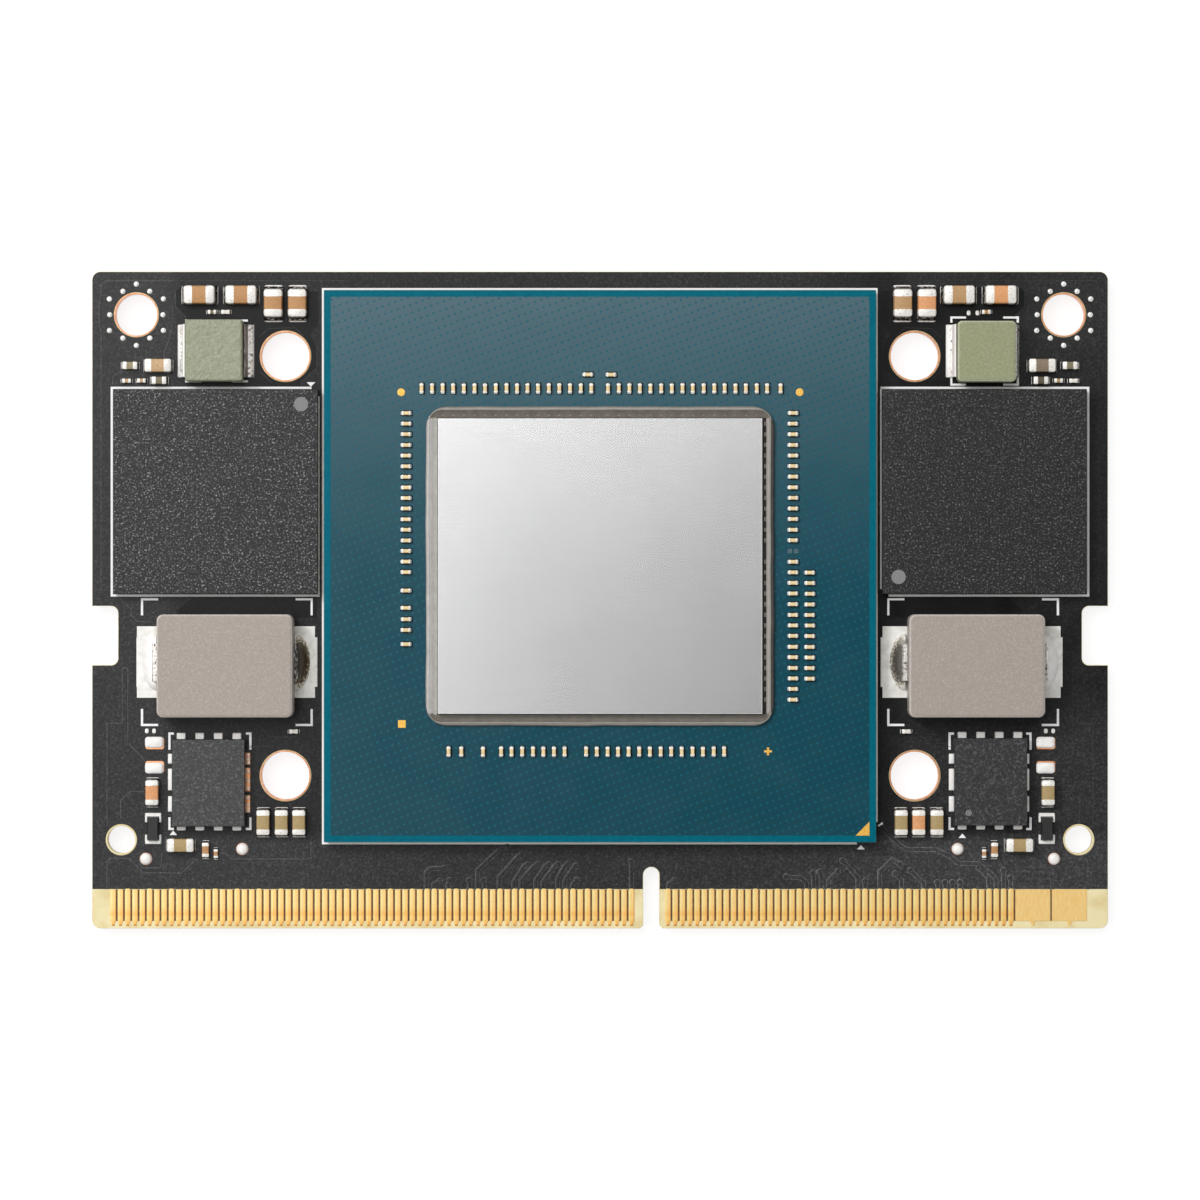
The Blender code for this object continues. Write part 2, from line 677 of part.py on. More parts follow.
def add_marks(mesh, top, slot):
    """Flat gold marks that show a placing machine where the package lies."""
    bottom = top - SUNK
    raised = top + MARK_HEIGHT
    beside = DIE_LENGTH / 2 + MARK_BESIDE_DIE
    for side in (-1, 1):
        place = (side * beside, DIE_WIDTH / 2 + MARK_ABOVE_DIE)
        add_prism(mesh, circle(place, MARK_ROUND, MARK_STEPS), bottom, raised, slot)
    place = (-beside, -DIE_WIDTH / 2 - MARK_BELOW_DIE)
    add_prism(mesh, rectangle(place, MARK_ROUND, MARK_ROUND), bottom, raised, slot)
    place = (DIE_LENGTH / 2 + CROSS_FROM_DIE_CORNER[0], -DIE_WIDTH / 2 - CROSS_FROM_DIE_CORNER[1])
    cross = cross_outline(place, MARK_CROSS / 2, MARK_CROSS_ARM / 2)
    add_prism(mesh, cross, bottom, raised, slot)
    corner = PACKAGE_EDGE - MARK_CORNER_INSET
    triangle = [(corner - MARK_CORNER, -corner), (corner, -corner), (corner, MARK_CORNER - corner)]
    add_prism(mesh, triangle, bottom, raised, slot)


def add_package(mesh, size, edge, standoff, thickness):
    """A square package on its ball field: a foot set back from the edge, then the body, with
    the top edge taken off a little."""
    foot = size - 2 * BALL_FIELD_INSET
    low = COPPER_HEIGHT + SEAT_GAP
    top = standoff + thickness
    add_loft(
        mesh,
        [
            ring(rectangle((0, 0), foot, foot), low),
            ring(rectangle((0, 0), foot, foot), standoff),
            ring(rectangle((0, 0), size, size), standoff),
            ring(rectangle((0, 0), size, size), top - edge),
            ring(rectangle((0, 0), size - 2 * edge, size - 2 * edge), top),
        ],
    )
    return top


def make_processor(parent):
    laminate = material("package_substrate", (0.02, 0.11, 0.14), 0.4)
    metal = material("chip_ends", (0.78, 0.77, 0.74), 0.35, 1.0)
    ceramic = material("chip_ceramic", (0.5, 0.36, 0.2), 0.55)
    gold = material("mark_gold", (0.85, 0.5, 0.12), 0.3, 1.0)
    materials = [laminate, metal, ceramic, gold]
    base = (0.0, PACKAGE_Y, BOARD_TOP)

    body = bmesh.new()
    top = add_package(body, PACKAGE_SIZE, 0.00004, PACKAGE_STANDOFF, PACKAGE_THICKNESS)
    substrate = make_object("processor_substrate", body, materials, parent, base)
    parts = bmesh.new()
    for x, y, upright in package_chip_places():
        add_saddle(
            parts, (x, y), (CHIP_LENGTH, CHIP_WIDTH), top - SUNK, top + CHIP_HEIGHT,
            CHIP_END, CHIP_DIP, upright, 1, 2,
        )
    marks = bmesh.new()
    add_marks(marks, top, 3)
    for name, mesh in (("package_chips", parts), ("package_marks", marks)):
        helper = make_helper(name, mesh, materials)
        helper.location = base
        combine(substrate, helper, "UNION")

    die_mesh = bmesh.new()
    die_bottom = top + SEAT_GAP
    add_prism(
        die_mesh, rectangle((0, 0), DIE_LENGTH, DIE_WIDTH), die_bottom, die_bottom + DIE_THICKNESS
    )
    silicon = material("die_silicon", (0.72, 0.72, 0.72), 0.28, 0.9)
    make_object("processor_die", die_mesh, [silicon], parent, base)
    make_underfill(parent, base, top)


def make_underfill(parent, base, top):
    """The resin frame that creeps out from under the die: highest near the die, rounded over
    and thinning outwards, with a narrow trough against the die's side."""
    steps = 4
    low = top + SEAT_GAP

    def level(spread, height):
        length = DIE_LENGTH + 2 * spread
        width = DIE_WIDTH + 2 * spread
        radius = UNDERFILL_RADIUS * spread / UNDERFILL_SPREAD
        return ring(rounded_rectangle(length, width, radius, steps), low + height)

    mesh = bmesh.new()
    spread = UNDERFILL_SPREAD
    add_loft(
        mesh,
        [
            level(spread, 0.0),
            level(spread * 0.93, UNDERFILL_HEIGHT * 0.3),
            level(spread * 0.72, UNDERFILL_HEIGHT * 0.75),
            level(spread * 0.42, UNDERFILL_HEIGHT),
            level(UNDERFILL_TROUGH + SEAT_GAP, UNDERFILL_HEIGHT * 0.7),
            level(SEAT_GAP, UNDERFILL_HEIGHT * 0.45),
            level(SEAT_GAP, 0.0),
        ],
        capped=False,
    )
    resin = material("underfill_resin", (0.14, 0.13, 0.12), 0.2)
    make_object("processor_underfill", mesh, [resin], parent, base)


def make_memories(parent):
    mould = material("memory_mould", (0.05, 0.05, 0.05), 0.6)
    for name, side in SIDES:
        mesh = bmesh.new()
        top = add_package(mesh, MEMORY_SIZE, MEMORY_EDGE, MEMORY_STANDOFF, MEMORY_THICKNESS)
        base = (side * MEMORY_X, MEMORY_Y, BOARD_TOP)
        memory = make_object("memory_" + name, mesh, [mould], parent, base)
        corner = MEMORY_SIZE / 2 - DIMPLE_INSET
        dimple = bmesh.new()
        outline = circle((-side * corner, -side * corner), DIMPLE_SIZE, 20)
        add_prism(dimple, outline, top - DIMPLE_DEPTH, top + DIMPLE_DEPTH)
        helper = make_helper("dimple_" + name, dimple, [mould])
        helper.location = base
        combine(memory, helper, "DIFFERENCE")


def rounded_block(mesh, length, width, height, radius, edge, low):
    """A moulded block with round corners and a rounded top edge."""
    steps = 4
    levels = ((0.0, low), (0.0, height - edge), (edge * 0.3, height - edge * 0.3), (edge, height))
    rings = []
    for inset, level in levels:
        outline = rounded_rectangle(
            length - 2 * inset, width - 2 * inset, radius - inset / 2, steps
        )
        rings.append(ring(outline, level))
    add_loft(mesh, rings)


def make_power_inductors(parent):
    body = material("inductor_body", (0.42, 0.38, 0.34), 0.5)
    lead = material("inductor_lead", (0.8, 0.79, 0.75), 0.35, 1.0)
    for name, side in SIDES:
        base = (side * INDUCTOR_X, INDUCTOR_Y, BOARD_TOP)
        mesh = bmesh.new()
        rounded_block(
            mesh, INDUCTOR_LENGTH, INDUCTOR_WIDTH, INDUCTOR_HEIGHT, INDUCTOR_RADIUS,
            INDUCTOR_ROUND, COPPER_HEIGHT + SEAT_GAP,
        )
        make_object("power_inductor_" + name, mesh, [body], parent, base)
        for end_name, end in (("inner", -side), ("outer", side)):
            make_lead(parent, f"inductor_lead_{end_name}_{name}", lead, base, end)


def make_lead(parent, name, metal, base, end):
    """One lead of a power inductor: a strip down the body's side that stands in its mound of
    solder. Drawn for the +X end, then turned round for the other."""
    low = COPPER_HEIGHT + SEAT_GAP
    start = INDUCTOR_LENGTH / 2 + SEAT_GAP
    mesh = bmesh.new()
    strip = rectangle((start + LEAD_THICKNESS / 2, 0), LEAD_THICKNESS, LEAD_WIDTH)
    add_prism(mesh, strip, low, LEAD_HEIGHT)
    turn = 0.0 if end > 0 else math.pi
    obj = make_object(name, mesh, [metal], parent, base, turn)

    mound = bmesh.new()
    rings = []
    for share, height in ((1.0, 0.0), (0.86, 0.4), (0.6, 0.75), (0.34, 1.0)):
        outline = []
        for x, y in arc((0, 0), 1.0, -90, 90, MOUND_STEPS):
            across = y * MOUND_WIDTH / 2 * (0.55 + 0.45 * share)
            outline.append((start + SEAT_GAP + x * MOUND_REACH * share, across))
        rings.append(ring(outline, low + height * MOUND_HEIGHT))
    add_loft(mound, rings)
    helper = make_helper(name + "_solder", mound, [metal])
    helper.location = base
    helper.rotation_euler = (0.0, 0.0, turn)
    combine(obj, helper, "UNION")


def make_chokes(parent):
    body = material("choke_body", (0.36, 0.38, 0.25), 0.6)
    clip = material("choke_clip", (0.8, 0.79, 0.75), 0.35, 1.0)
    low = COPPER_HEIGHT + SEAT_GAP
    for name, side in SIDES:
        base = (side * CHOKE_X, CHOKE_Y, BOARD_TOP)
        mesh = bmesh.new()
        rounded_block(
            mesh, CHOKE_LENGTH, CHOKE_WIDTH, CHOKE_HEIGHT, CHOKE_RADIUS, CHOKE_ROUND, low
        )
        make_object("choke_" + name, mesh, [body], parent, base)
        start = CHOKE_LENGTH / 2 + SEAT_GAP
        profile = [
            (start, low),
            (start + CLIP_REACH - SEAT_GAP, low),
            (start + CLIP_REACH - SEAT_GAP, low + CLIP_THICKNESS),
            (start + CLIP_THICKNESS, low + CLIP_THICKNESS),
            (start + CLIP_THICKNESS, CLIP_HEIGHT),
            (start, CLIP_HEIGHT),
        ]
        for end_name, end in (("inner", -side), ("outer", side)):
            mesh = bmesh.new()
            rings = [
                [(x, across, z) for x, z in profile] for across in (CLIP_WIDTH / 2, -CLIP_WIDTH / 2)
            ]
            add_loft(mesh, rings)
            turn = 0.0 if end > 0 else math.pi
            make_object(f"choke_clip_{end_name}_{name}", mesh, [clip], parent, base, turn)


def make_power_stages(parent):
    """Moulded packages with flat leads on three sides."""
    mould = material("stage_mould", (0.04, 0.04, 0.042), 0.55)
    lead = material("stage_lead", (0.8, 0.79, 0.76), 0.3, 1.0)
    low = COPPER_HEIGHT + SEAT_GAP
    top = low + STAGE_LEAD_HEIGHT
    for name, side in SIDES:
        base = (side * STAGE_X, STAGE_Y, BOARD_TOP)
        mesh = bmesh.new()
        height = low + STAGE_THICKNESS
        outline = rectangle((0, 0), STAGE_LENGTH, STAGE_WIDTH)
        edge = rectangle((0, 0), STAGE_LENGTH - MEMORY_EDGE, STAGE_WIDTH - MEMORY_EDGE)
        add_loft(
            mesh,
            [ring(outline, low), ring(outline, height - MEMORY_EDGE / 2), ring(edge, height)],
        )
        stage = make_object("power_stage_" + name, mesh, [mould, lead], parent, base)

        leads = bmesh.new()
        for number in range(STAGE_LEADS):
            x = (number - (STAGE_LEADS - 1) / 2) * STAGE_LEAD_PITCH
            for end, reach in ((1, STAGE_TOP_REACH), (-1, STAGE_BOTTOM_REACH)):
                y = end * (STAGE_WIDTH / 2 + reach / 2 - SUNK / 2)
                outline = rectangle((x, y), STAGE_LEAD_WIDTH, reach + SUNK)
                add_prism(leads, outline, low + SEAT_GAP / 2, top, 1)
        x = -STAGE_LENGTH / 2 - STAGE_SIDE_REACH / 2 + SUNK / 2
        for share, width in ((0.26, 0.11), (0.03, 0.25), (-0.25, 0.19)):
            outline = rectangle(
                (x, share * STAGE_WIDTH), STAGE_SIDE_REACH + SUNK, width * STAGE_WIDTH
            )
            add_prism(leads, outline, low + SEAT_GAP / 2, top, 1)
        helper = make_helper("stage_leads_" + name, leads, [mould, lead])
        helper.location = base
        combine(stage, helper, "UNION")


def chip_mesh(size):
    """A chip part: a ceramic body between two metal ends that wrap it a little proud."""
    length, width, height, end = size
    half = length / 2
    mesh = bmesh.new()
    rings = []
    for x, lip in (
        (-half, 0.0),
        (end - half, 0.0),
        (end - half, CHIP_LIP),
        (half - end, CHIP_LIP),
        (half - end, 0.0),
        (half, 0.0),
    ):
        across = width / 2 - lip
        rings.append(
            [(x, -across, lip), (x, across, lip), (x, across, height - lip), (x, -across, height - lip)]
        )
    for face in add_loft(mesh, rings):
        if abs(face.calc_center_median().x) < half - end - CHIP_LIP / 2:
            face.material_index = 1
    return mesh


def make_chip(parent, name, kind, place, upright, colours):
    turn = math.radians(90) if upright else 0.0
    base = (place[0], place[1], SEAT)
    make_object(name, chip_mesh(CHIP_SIZES[kind]), colours, parent, base, turn)


def make_chips(parent):
    ends = material("chip_terminals", (0.82, 0.81, 0.77), 0.35, 1.0)
    ceramic = material("capacitor_ceramic", (0.45, 0.3, 0.15), 0.55)
    dark = material("diode_body", (0.012, 0.012, 0.012), 0.4)
    for name, side in SIDES:
        for part, kind, distance, height, upright in SIDE_CHIPS:
            body = dark if kind == "diode" else ceramic
            place = (side * distance, height)
            make_chip(parent, f"{part}_{name}", kind, place, upright, [ends, body])
    for name, x in TOP_BYPASSES:
        make_chip(parent, name, "tiny", (x, TOP_BYPASS_Y), False, [ends, ceramic])


def main():
    clear_scene()
    module = bpy.data.objects.new("module", None)
    bpy.context.scene.collection.objects.link(module)
    make_board(module)
    make_processor(module)
    make_memories(module)
    make_power_inductors(module)
    make_chokes(module)
    make_power_stages(module)
    make_chips(module)


main()
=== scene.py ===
# %% [markdown]
# # Dressing a system on module
#
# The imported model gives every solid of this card-edge computer module in its right place, but it
# has only plain colours. This lesson adds what a photograph of the real module shows: solder mask
# with copper below it, gold contacts, ink lines, solder, ceramic chips and a ground silicon die.
# All pieces are drawn in millimetres, as on a board drawing, and shrunk to metres at the end.

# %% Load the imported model
import math
import random

import bmesh
import bpy
from mathutils import Matrix, Vector, noise


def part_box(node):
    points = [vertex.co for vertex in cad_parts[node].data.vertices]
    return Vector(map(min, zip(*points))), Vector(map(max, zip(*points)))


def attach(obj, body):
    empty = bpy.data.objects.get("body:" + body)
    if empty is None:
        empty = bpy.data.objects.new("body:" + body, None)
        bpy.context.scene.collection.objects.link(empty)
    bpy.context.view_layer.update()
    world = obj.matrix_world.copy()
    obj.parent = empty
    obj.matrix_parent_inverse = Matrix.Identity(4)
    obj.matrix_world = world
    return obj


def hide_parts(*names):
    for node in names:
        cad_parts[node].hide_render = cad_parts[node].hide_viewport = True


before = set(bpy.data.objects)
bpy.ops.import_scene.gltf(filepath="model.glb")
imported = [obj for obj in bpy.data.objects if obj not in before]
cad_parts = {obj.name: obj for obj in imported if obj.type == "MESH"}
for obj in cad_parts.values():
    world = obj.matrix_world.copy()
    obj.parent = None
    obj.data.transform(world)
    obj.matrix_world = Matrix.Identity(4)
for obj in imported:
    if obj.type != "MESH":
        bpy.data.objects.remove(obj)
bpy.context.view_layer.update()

# %% [markdown]
# ## The levels of the module
#
# A circuit board is built in layers, so a few heights decide where everything sits. They are the
# same as in the solids: the board's two faces, the lands, and the feet of the parts. Naming them
# once keeps ink, copper and solder from sinking into each other.

# %% Heights in millimetres
MM = 0.001
HALF_LENGTH = 34.8
HALF_WIDTH = 22.5
BOARD_LOW = 0.55
BOARD_TOP = 1.75
MASK = 0.02
LAND_TOP = 1.78
SEAT = 1.80
SUNK = BOARD_TOP - 0.01
INK_TOP = BOARD_TOP + 0.012
MASK_END = -19.83
SIDES = (("left", -1), ("right", 1))


def span(node):
    """Middle of a node's foot and its size, in millimetres."""
    low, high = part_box(node)
    middle = ((low.x + high.x) / 2 / MM, (low.y + high.y) / 2 / MM, low.z / MM)
    return Vector(middle), (high - low) / MM


# %% [markdown]
# ## The camera
#
# The photograph looks straight down from a long lens, so no side of any part shows and the board
# stays square. A lens of 175 mm at 40 cm gives the same frame, 82 mm wide at the board's face.

# %% Camera
CAMERA_HEIGHT = 0.4
FRAME_WIDTH = 0.0822
SENSOR = 36.0

camera_data = bpy.data.cameras.new("camera")
camera_data.sensor_width = SENSOR
camera_data.lens = SENSOR * CAMERA_HEIGHT / FRAME_WIDTH
camera_data.clip_start = 0.01
camera_data.clip_end = 10.0
camera = bpy.data.objects.new("camera", camera_data)
camera.location = (0.0, 0.0, BOARD_TOP * MM + CAMERA_HEIGHT)
bpy.context.scene.collection.objects.link(camera)
bpy.context.scene.camera = camera
bpy.context.scene.view_settings.view_transform = "Standard"
print("lens", round(camera_data.lens, 1), "mm")

# %% [markdown]
# ## Colours and a way to build finishes
#
# Every finish here starts from the same shader and then gets its own detail: speckle in the
# colour, uneven gloss and a fine bump. Three small helpers add these, so that each material below
# is only a few lines. Their sizes are in millimetres, because that is how one sees grain.

# %% Helpers for materials
def paint(rgb):
    """A colour in the 0 to 255 steps of a picture, as the linear values that a shader wants."""
    values = []
    for step in rgb:
        share = step / 255
        values.append(share / 12.92 if share <= 0.04045 else ((share + 0.055) / 1.055) ** 2.4)
    return (*values, 1.0)


def new_material(name, rgb, roughness, metallic=0.0, specular=0.5):
    material = bpy.data.materials.new(name)
    material.use_nodes = True
    shader = material.node_tree.nodes["Principled BSDF"]
    shader.inputs["Base Color"].default_value = paint(rgb)
    shader.inputs["Roughness"].default_value = roughness
    shader.inputs["Metallic"].default_value = metallic
    shader.inputs["Specular IOR Level"].default_value = specular
    return material


def shader_of(material):
    return material.node_tree.nodes["Principled BSDF"]


def add_node(material, kind, values=None, **settings):
    node = material.node_tree.nodes.new(kind)
    for key, value in settings.items():
        setattr(node, key, value)
    for key, value in (values or {}).items():
        node.inputs[key].default_value = value
    return node


def join(material, source, target):
    material.node_tree.links.new(source, target)


def grain(material, size, stretch=(1.0, 1.0, 1.0), detail=2.0):
    """Noise whose lumps are about size millimetres across, stretched along an axis if asked."""
    place = add_node(material, "ShaderNodeTexCoord")
    mapping = add_node(material, "ShaderNodeMapping", {"Scale": stretch})
    lumps = add_node(
        material, "ShaderNodeTexNoise", {"Scale": 1 / (size * MM), "Detail": detail}
    )
    join(material, place.outputs["Object"], mapping.inputs["Vector"])
    join(material, mapping.outputs["Vector"], lumps.inputs["Vector"])
    return lumps.outputs["Fac"]


def ramp(material, source, stops):
    """Turns a grey value into colours, from (place, colour) stops."""
    node = add_node(material, "ShaderNodeValToRGB")
    elements = node.color_ramp.elements
    while len(elements) < len(stops):
        elements.new(0.5)
    for element, (place, rgb) in zip(elements, stops):
        element.position = place
        element.color = paint(rgb)
    join(material, source, node.inputs["Fac"])
    return node.outputs["Color"]


def speckle(material, size, stops, **options):
    colour = ramp(material, grain(material, size, **options), stops)
    join(material, colour, shader_of(material).inputs["Base Color"])


def uneven(material, size, low, high, **options):
    """Gloss that changes from place to place."""
    node = add_node(material, "ShaderNodeMapRange", {"To Min": low, "To Max": high})
    node.inputs["From Min"].default_value = 0.3
    node.inputs["From Max"].default_value = 0.7
    join(material, grain(material, size, **options), node.inputs["Value"])
    join(material, node.outputs["Result"], shader_of(material).inputs["Roughness"])


def bumps(material, size, depth, strength=1.0, **options):
    """Lumps in the surface. depth is their height in millimetres."""
    node = add_node(material, "ShaderNodeBump", {"Strength": strength, "Distance": depth * MM})
    join(material, grain(material, size, **options), node.inputs["Height"])
    join(material, node.outputs["Normal"], shader_of(material).inputs["Normal"])
    return node


def axes(material):
    """The place on the module, as outputs X, Y and Z."""
    parts = add_node(material, "ShaderNodeSeparateXYZ")
    join(material, add_node(material, "ShaderNodeTexCoord").outputs["Object"], parts.inputs[0])
    return parts.outputs


def position(material, axis, low, high):
    """0 to 1 along an axis of the module, from low to high in millimetres."""
    share = add_node(material, "ShaderNodeMapRange", {"From Min": low * MM, "From Max": high * MM})
    join(material, axes(material)[axis], share.inputs["Value"])
    return share.outputs["Result"]


def compute(material, operation, source, values=None):
    """One step of arithmetic on the output of a node. values go to its other inputs."""
    node = add_node(material, "ShaderNodeMath", values, operation=operation)
    join(material, source, node.inputs[0])
    return node.outputs[0]


def blend(material, first, second, share=1.0, kind="MIX"):
    """One colour laid over another. share is a number or the output of a node."""
    node = add_node(material, "ShaderNodeMix", data_type="RGBA", blend_type=kind)
    if isinstance(share, float):
        node.inputs[0].default_value = share
    else:
        join(material, share, node.inputs[0])
    join(material, first, node.inputs[6])
    join(material, second, node.inputs[7])
    return node.outputs[2]


# %% [markdown]
# ## Solder mask and laminate
#
# Solder mask is a thin black lacquer over woven glass and copper. It is never quite even: it has
# a fine orange skin and dust-like specks that show grey under a lamp. It is also painted with shade
# and reflection: broad greys across the board, darker sheets round the chokes and beside the
# memories, and dark laminate between the contacts. The laminate is a cream resin with bands of
# glass, which shows on the edges and on the tongue of the connector.

# %% Mask, laminate and ink
COPPER_BELOW = [(0.36, (37, 37, 38)), (0.56, (49, 49, 50)), (0.72, (72, 71, 72))]
# painted shade: the specks of the darker sheets round the chokes and beside the memories
PAINTED_SHADE_SPECKS = [(0.36, (12, 12, 13)), (0.56, (20, 20, 21)), (0.72, (32, 32, 33))]
COPPER_EDGE = [(0.3, (64, 62, 64)), (0.56, (84, 82, 84)), (0.72, (108, 105, 107))]
# painted shade: a darker copy of the copper edges for the right half
SHADED_EDGE_SPECKS = [(0.3, (50, 49, 50)), (0.56, (60, 59, 60)), (0.72, (80, 78, 79))]
# painted shade and reflection of the mask, as greys from left to right, beside the contacts, and up
# the right end
PAINTED_SHADE_ACROSS = [
    (-34.8, 262), (-29.6, 262), (-28.8, 206), (-20.2, 206), (-14.0, 206), (0.0, 216), (14.0, 222),
    (19.0, 140), (20.2, 140), (21.5, 206), (28.2, 190), (31.5, 226),
]
PAINTED_SHADE_BESIDE_CONTACTS = [(-34.8, 266), (-23.0, 290), (-12.0, 258), (0.0, 258), (12.0, 274), (25.0, 325)]
PAINTED_SHADE_UP_THE_RIGHT = [
    (-22.5, 298), (-10.0, 298), (-8.4, 270), (-6.0, 215), (-3.0, 203), (13.5, 203), (16.0, 245),
    (18.5, 272),
]


def painted_shades(material, axis, half, stops):
    """Painted shade: greys at places along an axis, as a factor of the colour."""
    return ramp(material, position(material, axis, -half, half), [
        ((place + half) / (2 * half), (value, value, value)) for place, value in stops
    ])


def mask_finish(name, specks):
    """Black lacquer with specks, painted darker where the room that it mirrors is darker: painted
    shade and reflection.
    """
    material = new_material(name, (42, 42, 43), 0.32, specular=0.22)
    # the greys below are painted shade and painted reflection, multiplied into the colour
    across = painted_shades(material, "X", HALF_LENGTH, PAINTED_SHADE_ACROSS)
    upward = painted_shades(material, "Y", HALF_WIDTH, PAINTED_SHADE_UP_THE_RIGHT)
    right = blend(material, across, upward, 1.0, "MULTIPLY")
    both = blend(material, across, right, position(material, "X", -4.0, 4.0))
    low = painted_shades(material, "X", HALF_LENGTH, PAINTED_SHADE_BESIDE_CONTACTS)
    shade = blend(material, both, low, position(material, "Y", -15.9, -16.6))
    dust = ramp(material, grain(material, 0.14, detail=4.0), specks)
    colour = blend(material, dust, shade, 1.0, "MULTIPLY")
    join(material, colour, shader_of(material).inputs["Base Color"])
    uneven(material, 1.6, 0.28, 0.36)
    bumps(material, 0.16, 0.002, 0.35, detail=3.0)
    return material


mask = mask_finish("solder_mask", COPPER_BELOW)
painted_shade_mask = mask_finish("solder_mask_painted_shade", PAINTED_SHADE_SPECKS)

mask_over_copper = mask_finish("solder_mask_over_copper", COPPER_EDGE)
shaded_copper_edge = mask_finish("solder_mask_edge_painted_shade", SHADED_EDGE_SPECKS)

laminate = new_material("bare_laminate", (238, 222, 170), 0.45, specular=0.4)
speckle(
    laminate, 0.5, [(0.3, (226, 206, 150)), (0.55, (240, 226, 176)), (0.8, (246, 236, 194))],
    stretch=(0.35, 0.35, 7.0), detail=3.0,
)
bumps(laminate, 0.16, 0.004, 0.6, stretch=(1.0, 1.0, 3.0))

# painted shade: the dark laminate seen between the gold fingers
contact_gap_shade = new_material("laminate_painted_shade_between_contacts", (96, 76, 56), 0.55, specular=0.3)
speckle(contact_gap_shade, 0.2, [(0.3, (80, 62, 44)), (0.7, (112, 90, 66))])

ink = new_material("white_ink", (252, 252, 251), 0.6, specular=0.25)
speckle(ink, 0.09, [(0.2, (220, 220, 218)), (0.34, (251, 251, 250)), (0.8, (254, 254, 254))])
bumps(ink, 0.09, 0.003, 0.4)
print("board finishes made")

# %% [markdown]
# ## Metals
#
# Four metals show: soft gold over nickel on the contacts, bare copper round the holes, tin on the
# ends of the chips, and solder that froze in small lumps. Tin and solder scatter light much more
# than a mirror does, so they are mixed with some plain reflection, which keeps them near white.

# %% Gold, copper, tin and solder
gold = new_material("contact_gold", (252, 212, 136), 0.36, 0.25)
speckle(gold, 0.35, [(0.25, (248, 200, 118)), (0.55, (253, 214, 138)), (0.8, (255, 225, 158))],
        stretch=(3.0, 0.5, 1.0), detail=4.0)
uneven(gold, 0.12, 0.3, 0.46, stretch=(4.0, 0.3, 1.0))
bumps(gold, 0.05, 0.002, 0.6, stretch=(4.0, 0.25, 1.0))


def finger_finish():
    """Gold with a painted highlight stripe along the left of each finger and painted shade on its
    right edge, a warm spot near its end and a bronze tail.
    """
    material = new_material("finger_gold", (252, 212, 136), 0.34, 0.22)
    turns = compute(material, "MULTIPLY_ADD", axes(material)["X"], {1: 1 / (0.5 * MM), 2: 0.2})
    # painted highlight on the left of each finger and painted shade on its right edge
    lit_and_shaded_stripes = ramp(material, compute(material, "FRACT", turns), [
        (0.12, (255, 220, 140)), (0.2, (255, 232, 160)), (0.34, (255, 231, 160)),
        (0.46, (252, 214, 136)), (0.74, (252, 212, 132)), (0.86, (232, 168, 90)),
    ])
    marks = ramp(material, position(material, "Y", -22.4, -19.8), [
        (0.04, (206, 148, 96)), (0.09, (250, 222, 176)), (0.24, (255, 248, 232)),
        (0.34, (252, 226, 190)), (0.48, (255, 248, 234)), (0.62, (255, 255, 255)),
    ])
    colour = blend(material, lit_and_shaded_stripes, marks, 1.0, "MULTIPLY")
    join(material, colour, shader_of(material).inputs["Base Color"])
    uneven(material, 0.3, 0.3, 0.44, stretch=(3.0, 0.4, 1.0))
    bumps(material, 0.12, 0.003, 0.5, stretch=(3.0, 0.3, 1.0))
    return material


finger_gold = finger_finish()
mark_gold = new_material("mark_gold", (248, 194, 84), 0.34, 0.3)
speckle(mark_gold, 0.12, [(0.3, (238, 176, 62)), (0.7, (252, 206, 102))])

copper = new_material("bare_copper", (244, 178, 130), 0.32, 0.5)
speckle(copper, 0.3, [(0.3, (232, 148, 100)), (0.55, (246, 180, 132)), (0.8, (252, 212, 172))])
bumps(copper, 0.12, 0.003, 0.4)

tin = new_material("tinned_ends", (243, 239, 233), 0.42, 0.2)
speckle(tin, 0.13, [(0.3, (188, 182, 172)), (0.44, (240, 236, 229)), (0.75, (251, 249, 245))],
        detail=4.0)
bumps(tin, 0.12, 0.004, 0.5, detail=3.0)

solder = new_material("solder", (244, 243, 240), 0.22, 0.5)
speckle(solder, 0.4, [(0.28, (206, 204, 200)), (0.5, (244, 243, 240)), (0.8, (251, 250, 249))],
        detail=3.0)
uneven(solder, 0.4, 0.16, 0.34)
bumps(solder, 0.45, 0.02, 0.4, detail=2.0)

# painted shade: a darker copy of solder for the shaded feet of the tiny capacitors
solder_painted_shade = new_material("solder_painted_shade", (196, 192, 186), 0.3, 0.4)
speckle(solder_painted_shade, 0.14, [(0.32, (136, 130, 122)), (0.5, (200, 196, 190)), (0.8, (232, 229, 225))],
        detail=3.0)
bumps(solder_painted_shade, 0.3, 0.02, 0.5)

white_solder = new_material("white_solder", (250, 248, 244), 0.45, 0.05)
speckle(white_solder, 0.5, [(0.3, (242, 238, 232)), (0.5, (250, 248, 245)), (0.8, (254, 253, 251))],
        detail=3.0)
bumps(white_solder, 0.5, 0.01, 0.4)

# painted reflection: solder fillets painted dark, as the dark board they mirror
fillet_painted_reflection = new_material("fillet_painted_reflection", (80, 76, 72), 0.25, 0.3)
speckle(fillet_painted_reflection, 0.24, [(0.42, (20, 18, 18)), (0.55, (66, 62, 58)), (0.66, (226, 221, 214))],
        detail=3.0)
bumps(fillet_painted_reflection, 0.2, 0.03, 0.6)

rough_solder = new_material("rough_solder", (236, 233, 228), 0.28, 0.55)
speckle(rough_solder, 0.2, [(0.34, (88, 76, 66)), (0.43, (214, 208, 200)), (0.6, (248, 246, 243))],
        detail=4.0)
bumps(rough_solder, 0.16, 0.03, 0.8, detail=3.0)

